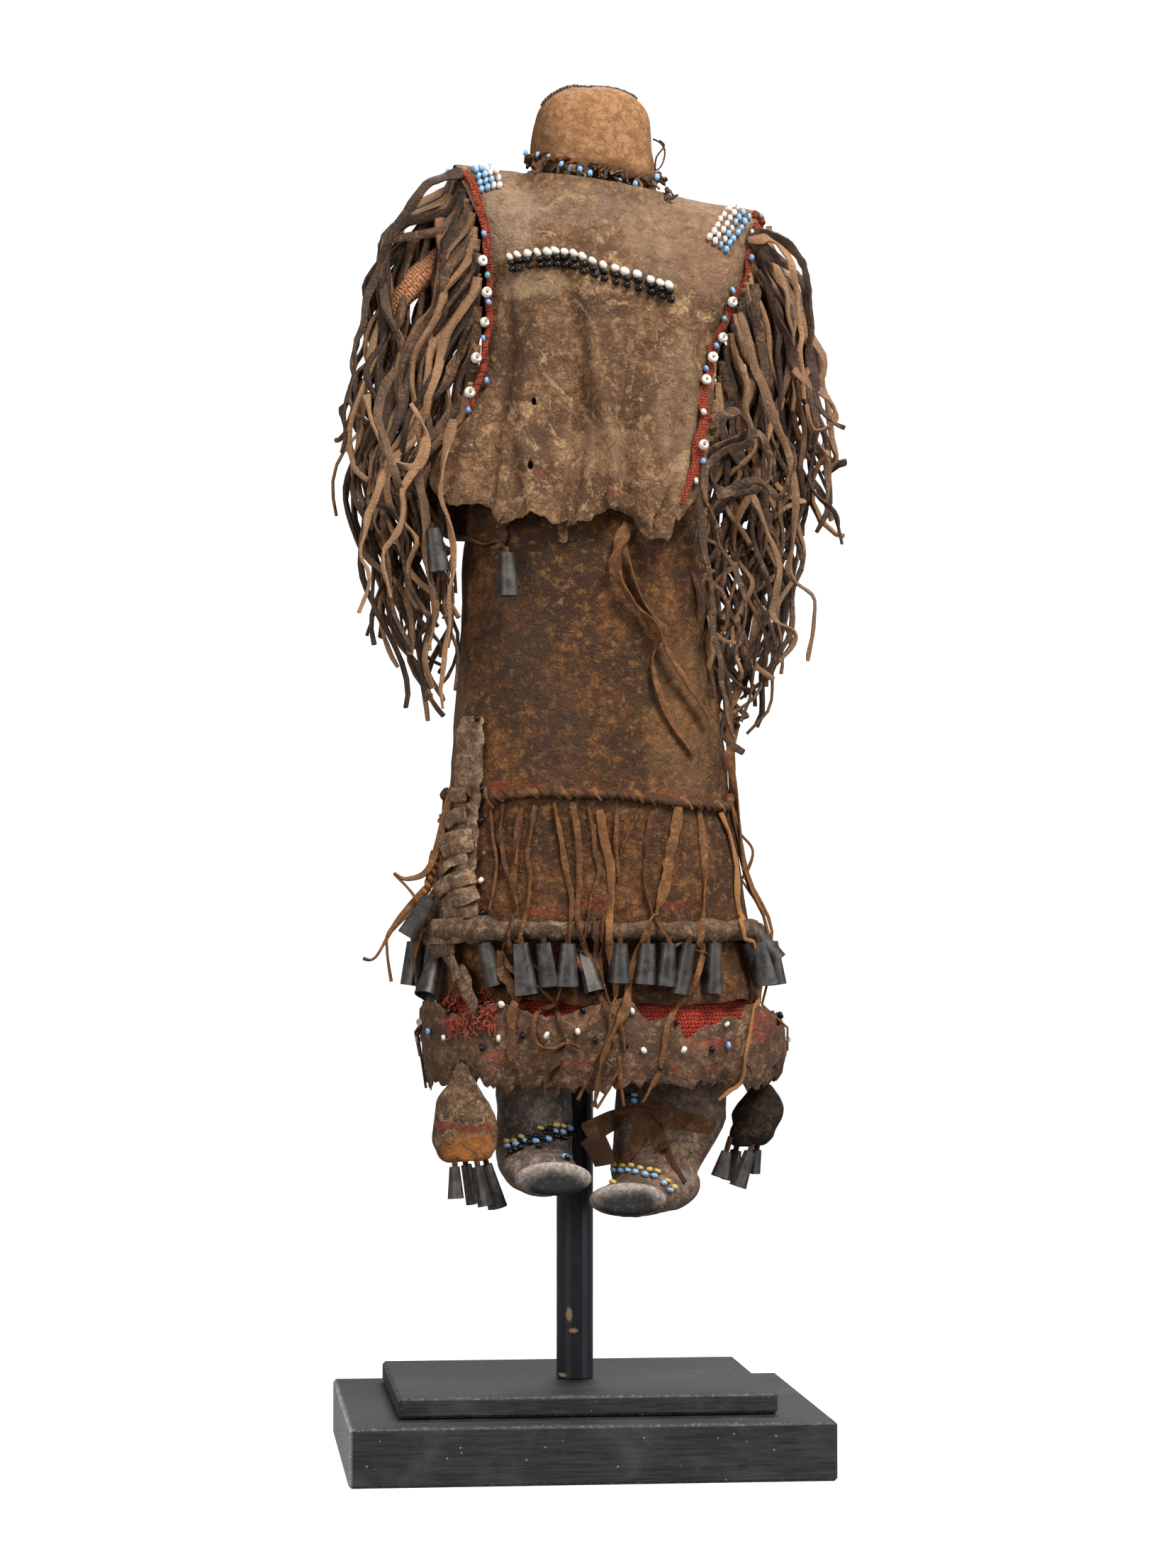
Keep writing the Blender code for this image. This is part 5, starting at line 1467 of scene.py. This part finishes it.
# Width in millimetres, tone, and the photograph's points from the top down
THONGS = (
    (1.1, 0.6, ((694, 1143), (696, 1178), (702, 1216), (697, 1258), (692, 1283))),
    (1.6, 0.4, ((712, 1136), (708, 1166), (713, 1216), (722, 1246), (730, 1272))),
    (2.1, 0.4, ((737, 1140), (731, 1178), (729, 1212), (725, 1254), (731, 1281), (725, 1300), (718, 1320),
                (717, 1348), (732, 1375), (759, 1395), (784, 1414))),
    (1.6, 0.5, ((755, 1136), (750, 1166), (744, 1204), (748, 1235), (744, 1281), (734, 1315), (729, 1328),
                (744, 1353), (774, 1380), (788, 1396))),
    (1.8, 0.55, ((782, 1134), (790, 1174), (799, 1231), (807, 1273), (803, 1311), (801, 1349), (794, 1387),
                 (782, 1418), (763, 1426), (754, 1448), (763, 1475), (782, 1479), (797, 1471), (816, 1478))),
    (2.0, 0.5, ((807, 1134), (814, 1174), (816, 1216), (816, 1258), (814, 1296), (822, 1334), (839, 1364),
                (854, 1406), (859, 1440))),
    (1.6, 0.45, ((830, 1140), (837, 1178), (839, 1204), (845, 1231), (834, 1265), (828, 1303), (816, 1334))),
    (2.9, 0.7, ((845, 1143), (851, 1181), (860, 1220), (862, 1258), (858, 1303), (858, 1349), (866, 1395),
                (862, 1430))),
    (1.3, 0.5, ((870, 1143), (868, 1181), (870, 1216), (872, 1240))),
    (1.7, 0.45, ((898, 1149), (885, 1178), (874, 1204))),
    (1.6, 0.35, ((919, 1147), (912, 1181), (908, 1227), (912, 1269), (923, 1300), (942, 1323), (973, 1342),
                 (999, 1349))),
    (3.5, 0.6, ((954, 1140), (950, 1174), (942, 1212), (938, 1242), (927, 1281), (910, 1315), (893, 1349),
                (885, 1387), (881, 1422), (866, 1456), (853, 1490), (842, 1540), (838, 1562))),
    (2.1, 0.6, ((984, 1143), (990, 1189), (992, 1242), (990, 1281), (986, 1319), (980, 1357), (973, 1395),
                (954, 1422), (942, 1445), (935, 1487), (925, 1520), (907, 1555))),
    (1.8, 0.9, ((1013, 1147), (1026, 1181), (1034, 1223), (1036, 1273), (1045, 1311), (1053, 1357), (1059, 1414),
                (1055, 1456), (1049, 1490), (1042, 1525), (1014, 1552))),
    (1.9, 0.2, ((839, 1296), (841, 1319), (839, 1357), (846, 1385))),
    (1.7, 0.3, ((852, 1290), (849, 1330), (845, 1364), (850, 1395))),
    (3.6, 0.5, ((712, 1342), (711, 1364), (725, 1391), (733, 1408), (724, 1425), (722, 1462), (724, 1496))),
    (1.7, 0.4, ((813, 1338), (816, 1364), (832, 1391), (849, 1414), (860, 1442), (866, 1470))),
    (1.6, 0.4, ((782, 1418), (788, 1434), (796, 1464), (794, 1492), (775, 1512), (768, 1540))),
    (1.5, 0.5, ((873, 1442), (878, 1470), (877, 1498), (860, 1534), (842, 1564))),
    (1.4, 0.4, ((862, 1440), (857, 1468), (838, 1506), (815, 1552))),
    (1.3, 0.6, ((874, 1490), (876, 1530), (880, 1560))),
    (1.3, 0.3, ((792, 1495), (789, 1530), (784, 1548))),
)
for n, (width, tone, points) in enumerate(THONGS):
    add_strip(
        seam, draped(points, 0.7 + 0.35 * (n % 3)), width, 0.8, (0, -1, 0), chance.uniform(-2.0, 2.0), 0.7,
        tone * 0.9, start=0.75, ragged=0.45,
    )
BACK_THONGS = 26
for i in range(BACK_THONGS):
    turn = 1.25 + (math.tau - 2.6) * (i + chance.uniform(0.2, 0.8)) / BACK_THONGS
    low = chance.uniform(100, 150)
    path = []
    for k in range(12):
        z = 178 + (low - 178) * k / 11
        bulge = 5.2 * math.exp(-(((z - 144) / 9) ** 2)) + 2.5 * math.exp(-(((z - 131) / 9) ** 2))
        path.append(around(clothes, turn + 0.05 * math.sin(k * 0.8 + i), z, 1.2 + bulge)[0])
    add_strip(
        seam, path, chance.uniform(1.6, 2.8), 0.9, outward(path[4]), chance.uniform(-2, 2), 0.5, chance.random(),
        ragged=0.3,
    )
piece("skirt_seam_and_thongs", seam, thong_hide, "strip_hide", "skirt_welt_upper")

# %% [markdown]
# The overlap ends in tabs between deep slits, which lie over one another like tiles and stand off the side.
# Below the lower welt two dry, dusty ends of it hang between the cones.

# %% Tabs of the overlap
tabs = bmesh.new()
for width, tone, lift, points in (
    (6.6, 0.7, 2.6, ((674, 1186), (652, 1186), (634, 1190), (621, 1196))),
    (3.0, 0.5, 2.0, ((664, 1212), (648, 1216), (634, 1226), (624, 1240))),
    (4.6, 0.4, 2.2, ((676, 1236), (654, 1238), (638, 1245), (624, 1256))),
    (5.4, 0.55, 2.4, ((680, 1258), (656, 1262), (634, 1270), (618, 1280))),
    (5.0, 0.45, 2.6, ((680, 1280), (654, 1284), (632, 1290), (614, 1296))),
    (7.0, 0.7, 5.2, ((668, 1312), (650, 1312), (634, 1312), (622, 1314))),
    (4.4, 0.3, 4.2, ((656, 1334), (642, 1338), (628, 1342))),
    (4.6, 0.5, 3.4, ((640, 1336), (646, 1350), (652, 1364), (656, 1384))),
    (4.8, 0.6, 3.2, ((656, 1368), (664, 1384), (668, 1400), (676, 1424))),
    (4.0, 0.35, 2.2, ((664, 1118), (652, 1120), (640, 1128))),
    (4.0, 0.35, 2.2, ((664, 1148), (650, 1150), (637, 1160))),
):
    line = laid(clothes, points, lift, 5, -0.02)
    facing = outward(line[len(line) // 2])
    add_strip(tabs, line, width, 0.9, facing, chance.uniform(-0.1, 0.1), 0.95, tone, sides=8, start=0.9, ragged=0.06)
piece("overlap_tabs", tabs, flap_hide, "skirt_hide")

# %% [markdown]
# ## Loose thongs
# Two long strips hang from the cape's torn hem, a shorter one crosses it at the left, and at the left hip a
# twisted cord and looped thongs stand off the skirt.

# %% Loose thongs
for name, node, width, rise, points in (
    ("hem_strip_long", "hem_thong_long", 3.9, 1.2,
     ((880, 745), (878, 780), (902, 850), (930, 885), (918, 935), (940, 1010), (975, 1066))),
    ("hem_strip_short", "hem_thong_short", 4.3, 3.2,
     ((885, 740), (868, 778), (866, 810), (888, 850), (915, 880), (938, 925), (965, 975), (990, 1015))),
):
    mesh = bmesh.new()
    lifts = [1.2] + [rise] * (len(points) - 1)
    add_strip(mesh, laid(clothes, points, lifts, 6), width, 1.0, (0, -1, 0), 2.6, 0.45, 0.5, ragged=0.35)
    piece(name, mesh, thong_hide, "strip_hide", node)

# The torn hem ends in dry curled points, and near the right one flap of it is folded back
mesh = bmesh.new()
for width, thick, lift, points in (
    (4.0, 0.9, 0.6, ((706, 728), (708, 744), (712, 760), (702, 770), (692, 768))),
    (3.6, 0.9, 0.6, ((792, 734), (794, 750), (796, 764), (788, 762))),
    (6.5, 1.0, 1.4, ((862, 702), (884, 710), (904, 722), (914, 742), (912, 764))),
    (5.0, 1.0, 1.8, ((932, 694), (924, 712), (918, 734), (922, 756))),
    (3.4, 0.9, 0.6, ((640, 738), (634, 752), (640, 764))),
):
    add_strip(
        mesh, laid(clothes, points, lift, 5), width, thick, (0, -1, 0.2), 0.7, 0.35, 0.5, sides=8, start=0.9,
        ragged=0.2,
    )
piece("hem_points", mesh, cape_hide, "cape_hide")

mesh = bmesh.new()
for width, tone, points in (
    (2.4, 0.4, ((630, 700), (622, 745), (640, 758), (668, 762), (688, 770), (706, 764), (716, 776), (704, 790))),
    (2.0, 0.3, ((612, 745), (620, 790), (605, 840), (612, 900))),
    (3.0, 0.6, ((1015, 980), (1022, 1080), (1036, 1160), (1062, 1200), (1048, 1240))),
    (2.6, 0.5, ((1016, 1060), (1036, 1110), (1044, 1170), (1040, 1230))),
    (2.4, 0.55, ((640, 1130), (608, 1220), (575, 1240), (556, 1232), (580, 1258), (600, 1290))),
    (2.4, 0.6, ((604, 1250), (560, 1300), (530, 1350), (512, 1352))),
    (2.2, 0.6, ((604, 1262), (552, 1312), (546, 1340), (552, 1385))),
    (2.6, 0.4, ((598, 1300), (584, 1350), (590, 1400))),
    (2.2, 0.5, ((612, 1200), (600, 1260), (588, 1330))),
):
    add_strip(mesh, laid(clothes, points, 2.0, 6, -0.012), width, 0.9, (0, -1, 0), 2.5, 0.5, tone)
for strand in (0, 1):
    cord = []
    for k in range(40):
        px = 634 - 34 * k / 39
        py = 1150 + 110 * k / 39
        point, _ = seen(clothes, px, py, 1.6, -0.012)
        spin = k * 0.85 + strand * math.pi
        cord.append(point + Vector((math.cos(spin), math.sin(spin), 0)) * 0.7 * MM)
    add_strip(mesh, cord, 1.4, 1.2, (0, -1, 0), 0, 0.9, 0.75, sides=5, start=1)
piece("loose_thongs", mesh, thong_hide, "strip_hide")

# %% [markdown]
# ## Tin cones
# Each tinkler is a trapezium of thin tin rolled round the knotted end of a thong, so it is open below, closed
# round the thong above and has one overlapping seam. A cone is drawn once for each solid, between the ends
# that the solid gives, and those that show lean as in the photograph. More hang at the sides and the back.

# %% Cones


def ends_of(name):
    """The top of the stem and the middle of the mouth of a solid cone."""
    points = [v.co for v in nodes[name].data.vertices]
    top = max(points, key=lambda p: p.z)
    low = min(p.z for p in points)
    mouth = [p for p in points if p.z < low + 0.0022]
    return top.copy(), sum(mouth, Vector()) / len(mouth)


def mouth_x(name):
    return ends_of(name)[1].x


def add_cone(mesh, stems, neck, mouth, wide, narrow=3.8):
    """A rolled cone from its neck to its mouth, and the thong that it hangs from."""
    own = bmesh.new()
    long = (neck - mouth).length
    bmesh.ops.create_circle(own, segments=14, radius=narrow / 2 * MM)
    grown = bmesh.ops.extrude_edge_only(own, edges=own.edges[:])["geom"]
    lower = [v for v in grown if isinstance(v, bmesh.types.BMVert)]
    bmesh.ops.translate(own, vec=(0, 0, -long), verts=lower)
    wider = wide / narrow
    bmesh.ops.scale(own, vec=(wider, wider * chance.uniform(0.82, 1.0), 1), verts=lower)
    own.edges.ensure_lookup_table()
    upright = [e for e in own.edges if abs(e.verts[0].co.z - e.verts[1].co.z) > long / 2]
    bmesh.ops.subdivide_edges(own, edges=upright, cuts=3, use_grid_fill=True)
    for vert in own.verts:
        turn = math.atan2(vert.co.y, vert.co.x)
        roll = 1 + 0.14 * (turn / math.pi) + 0.05 * math.sin(3 * turn + chance.random() * 0.2)
        vert.co.x *= roll
        vert.co.y *= roll
    bmesh.ops.recalc_face_normals(own, faces=own.faces)
    bmesh.ops.solidify(own, geom=own.faces[:], thickness=0.32 * MM)
    down = (mouth - neck).normalized()
    turn = (-down).to_track_quat("Z", "Y").to_matrix().to_4x4() @ Matrix.Rotation(chance.uniform(0, 6.2), 4, "Z")
    bmesh.ops.transform(own, matrix=Matrix.Translation(neck) @ turn, verts=own.verts)
    bmesh.ops.recalc_face_normals(own, faces=own.faces)
    pour(own, mesh)
    rise = 1.6 if wide > 5.1 else 4.2
    stem = flow([neck - down * rise * MM, neck - down * 0.4 * rise * MM, neck + down * 5 * MM], 3)
    add_strip(stems, stem, 1.7, 1.3, (0, -1, 0), 1.0, 0.9, 0.25, sides=6, start=1)


# The nine front cones from left to right: the photograph's points of the neck and of the mouth
LEANING = (
    ((685, 1336), (702, 1389)), ((735, 1343), (748, 1418)), ((769, 1342), (778, 1391)), ((792, 1338), (796, 1391)),
    ((875, 1332), (872, 1385)), ((910, 1334), (907, 1387)), ((944, 1338), (935, 1390)), ((970, 1349), (954, 1404)),
    ((997, 1332), (1003, 1404)),
)
# The same for the four cones of each pouch
FANNED = {
    "cone_pouch_left": (((652, 1645), (647, 1688)), ((664, 1650), (671, 1697)), ((675, 1650), (688, 1700)),
                        ((686, 1650), (705, 1704))),
    "cone_pouch_right": (((1022, 1616), (1012, 1656)), ((1034, 1618), (1026, 1662)), ((1050, 1616), (1036, 1672)),
                         ((1057, 1614), (1059, 1650))),
}
skirt_cones, pouch_cones, stems = bmesh.new(), bmesh.new(), bmesh.new()
skirt_names = [n for n in nodes if n.startswith("cone_skirt") or n == "cone_hem"]
pouch_names = [n for n in nodes if n.startswith("cone_pouch")]
fronts = sorted((n for n in skirt_names if ends_of(n)[1].y < -0.018 and "hem" not in n), key=mouth_x)
leaning = dict(zip(fronts, LEANING))
for row, places in FANNED.items():
    leaning.update(zip(sorted((n for n in pouch_names if n.startswith(row)), key=mouth_x), places))
print(len(skirt_names), "cones on the skirt and", len(pouch_names), "on the pouches, of which", len(leaning), "lean")
for names, mesh in ((skirt_names, skirt_cones), (pouch_names, pouch_cones)):
    for name in names:
        top, mouth = ends_of(name)
        down = (mouth - top).normalized()
        stem = 3.4 * MM if name.startswith("cone_skirt") else 0.8 * MM
        if name in leaning:
            for point, place, share in zip((top, mouth), leaning[name], (0.5, 0.85)):
                way = ray_through(*place)
                shown = camera.location + way * ((point.y - camera.location.y) / way.y)
                if point is mouth:
                    shown.z = max(shown.z, point.z - 2.0 * MM)
                else:
                    shown.z = point.z
                point += (shown - point) * share
            down = (mouth - top).normalized()
        if mesh is skirt_cones:
            add_cone(mesh, stems, top + down * stem, mouth, chance.uniform(5.2, 6.6))
        else:
            add_cone(mesh, stems, top + down * stem, mouth, chance.uniform(4.4, 5.0), 2.8)
BACK_CONES = 14
for i in range(BACK_CONES):
    turn = 1.7 + (math.tau - 3.5) * (i + chance.uniform(0.25, 0.75)) / BACK_CONES
    neck, away = around(clothes, turn, 140.5, 2.0)
    neck.z = 0.1398
    lean = away * 2.6 * MM + Vector((chance.uniform(-1.5, 1.5), chance.uniform(-1.5, 1.5), 0)) * MM
    neck += away * 1.5 * MM
    add_cone(skirt_cones, stems, neck, neck + lean - UP * 11.5 * MM, chance.uniform(5.2, 6.6))
# Further cones at the skirt's sides and one in the left fringe: neck, mouth and lift
for (x0, y0), (x1, y1), depth in (
    ((1040, 1330), (1078, 1388), 3.2), ((1060, 1306), (1096, 1358), 2.6), ((628, 1350), (600, 1402), 3.0),
    ((606, 1268), (592, 1292), 2.4), ((822, 1342), (836, 1392), 2.4), ((610, 746), (617, 796), 2.4),
):
    neck, _ = seen(clothes, x0, y0, depth, -0.016)
    mouth, _ = seen(clothes, x1, y1, depth + 1, -0.016)
    mouth = neck + (mouth - neck).normalized() * 11.6 * MM
    add_cone(skirt_cones, stems, neck, mouth, chance.uniform(5.4, 7.0))
piece("skirt_tinklers", skirt_cones, tin, "tin", *skirt_names, angle=40)
piece("pouch_tinklers", pouch_cones, tin, "tin", *pouch_names, angle=40)
piece("tinkler_thongs", stems, thong_hide, "strip_hide")

# %% [markdown]
# ## Sewn beads, yarn and stitches on the skirt
# Single beads are sewn down the overlap and scattered in rows on the underskirt. Tufts of red yarn stick out
# at the left, where the band is frayed.

# %% Skirt beads and yarn
beads = []
for px, py, colour in (
    (676, 1015, "black"), (681, 1060, "black"), (684, 1113, "black"), (682, 1158, "black"), (685, 1205, "brown"),
    (681, 1243, "white"), (683, 1288, "black"),
    (609, 1455, "blue"), (630, 1463, "white"), (708, 1418, "white"), (704, 1465, "white"), (772, 1461, "white"),
    (814, 1455, "white"), (890, 1427, "white"), (907, 1482, "white"), (964, 1481, "white"), (1024, 1445, "white"),
    (1026, 1474, "light blue"), (636, 1430, "black"), (683, 1479, "black"), (738, 1461, "black"),
    (840, 1467, "black"), (823, 1426, "black"), (882, 1474, "black"), (953, 1444, "black"), (1003, 1480, "black"),
    (1075, 1412, "black"), (1098, 1434, "black"), (655, 1500, "black"), (930, 1506, "black"),
):
    centre, _ = seen(drape_tree, px, py, 1.2 if px < 700 else 0.7, -0.01, True)
    beads.append((centre, (0.9, 0, chance.uniform(-0.6, 0.6)), chance.uniform(1.8, 2.3), colour))
for i in range(22):
    turn = 1.5 + (math.tau - 3.0) * i / 21
    centre, _ = around(clothes, turn, 113 + 5 * (i % 2), 0.7)
    beads.append((centre, (math.cos(turn), math.sin(turn), 0), 2.0, ("white", "black", "light blue")[i % 3]))
bead_string("sewn_beads", beads, "bead_glass")

# Two large tufts take two strands of five each, and a small one the fifth: their pixels across and down
TUFTS = ((634, 671, 1424, 1456), (678, 698, 1392, 1450), (626, 650, 1402, 1418))
yarn = bmesh.new()
for i in range(150):
    left, right, top, low = TUFTS[(0, 1, 0, 1, 2)[i % 5]]
    start, _ = seen(clothes, chance.uniform(left, right), chance.uniform(top, low), 0.6)
    bits = wisp(start, (-1.1, 1.1), (-0.7, 0.15), (-1.4, 0.7))
    add_strip(yarn, flow(bits, 2), 0.45, 0.4, (0, -1, 0), 1, 0.8, 0.5, sides=5, start=1)
yarn_finish, recipe, shader = material("red yarn")
fibres = recipe.noise(recipe.stretched(recipe.where(), (1400, 1400, 300)), 1.0, 4, 0.7)
recipe.plug(recipe.mix(fibres, (0.10, 0.014, 0.010), (0.42, 0.075, 0.030)), shader.inputs["Base Color"])
recipe.plug(recipe.math("ADD", recipe.math("MULTIPLY", fibres, 0.1), 0.85), shader.inputs["Roughness"])
piece("yarn_tufts", yarn, yarn_finish, "red_cloth")

# %% [markdown]
# ## Beads and tie on the boots
# The left ankle has two rows of blue, black and yellow beads, and the right toe has a yellow and a blue row.
# A strap of hide is wound round the right ankle, with its dark end hanging.

# %% Boot beads and tie
boots = surface_of("soft_boot_left", "soft_boot_right")
beads = []
for colour, spots in (
    ("yellow", ((717, 1610), (727, 1610), (737, 1603), (762, 1591), (784, 1587), (792, 1588), (860, 1647),
                (871, 1643), (880, 1645), (892, 1647), (904, 1651), (916, 1653), (927, 1655), (941, 1668),
                (950, 1676))),
    ("light blue", ((718, 1619), (729, 1617), (742, 1609), (756, 1612), (773, 1606), (782, 1595), (792, 1596),
                    (801, 1591), (809, 1592), (815, 1594), (869, 1651), (878, 1653), (887, 1654), (897, 1656),
                    (910, 1659), (923, 1661), (936, 1671), (944, 1680), (895, 1544), (895, 1553))),
    ("black", ((721, 1627), (738, 1613), (735, 1621), (757, 1603), (769, 1598), (784, 1603), (794, 1605), (887, 1547),
               (746, 1604), (748, 1614), (764, 1606), (776, 1592), (803, 1600), (728, 1624), (760, 1619),
               (812, 1601))),
):
    for px, py in spots:
        centre, _ = seen(boots, px, py, 0.7, -0.03, True)
        beads.append((centre, (0.3, 0, 1), 2.1, colour))
bead_string("boot_beads", beads, "bead_glass", "boot_beads_left", "boot_beads_right")

mesh = bmesh.new()
for width, tone, lift, points in (
    (7.2, 0.35, 1.1, ((826, 1600), (846, 1590), (872, 1580), (900, 1575), (918, 1578))),
    (8.0, 0.0, 0.6, ((834, 1602), (842, 1616), (850, 1632), (853, 1644))),
    (6.6, 0.4, 0.8, ((905, 1572), (930, 1572), (955, 1579), (980, 1587), (1002, 1592))),
    (6.0, 0.3, 1.6, ((896, 1570), (910, 1582), (922, 1598), (936, 1622))),
    (5.0, 0.35, 0.9, ((912, 1584), (904, 1604), (890, 1626), (876, 1640))),
    (2.0, 0.1, 0.6, ((934, 1606), (944, 1630), (954, 1652), (964, 1670))),
):
    add_strip(mesh, laid(boots, points, lift, 5, -0.02), width, 1.1, (0, -1, 0), 0.5, 0.8, tone)
piece("boot_tie", mesh, thong_hide, "strip_hide", "ankle_tie")

# %% [markdown]
# ## Head seam and ear wire
# The seam over the head is a narrow crimped ridge, whipped with dark stitches. At the right a loop of thin
# brown wire stands out from the side of the head.

# %% Seam and wire
head = surface_of("doll_body")
ridge = bmesh.new()
path = []
for i in range(61):
    turn = math.pi * (0.22 + 0.50 * i / 60)
    away = Vector((-math.cos(turn), -0.10, math.sin(turn)))
    start = Vector((0.005, -0.001, 0.356)) + away * 0.1
    hit, normal, _, _ = head.ray_cast(start, -away)
    path.append(hit + normal * 0.15 * MM + Vector((0, 0.35 * MM * math.sin(i * 1.3), 0)))
add_strip(ridge, path, 1.2, 0.8, (0, -1, 0), 0, 1.0, 0.5, sides=6, start=1)
for i in range(2, 59, 2):
    point = path[i]
    away = (point - Vector((0.005, 0, 0.35))).normalized()
    steps = (Vector((0, -1.3, 0)) - away * 0.5, away * 0.55, Vector((0, 1.2, 0)) - away * 0.4)
    bits = [point + step * MM for step in steps]
    add_strip(ridge, flow(bits, 3), 0.5, 0.4, away, 0, 1.0, 0.2, sides=5, start=1)
piece("head_seam", ridge, fringe_hide, "tan_hide")

wire = bmesh.new()
points = ((921, 196), (932, 202), (938, 214), (934, 232), (924, 240), (926, 222), (937, 206), (930, 198))
add_strip(wire, laid(head, points, 0.2, 6, -0.001), 0.55, 0.55, (0, -1, 0), 0, 1.0, 0.4, sides=6, start=1)
piece("ear_wire", wire, thong_hide, "strip_hide")

# %% Sizes
low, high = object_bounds()
sizes = {"cad": [list(cad_low), list(cad_high)], "visual": [list(low), list(high)]}
print("visual box", [round(v / MM, 1) for v in low], [round(v / MM, 1) for v in high])
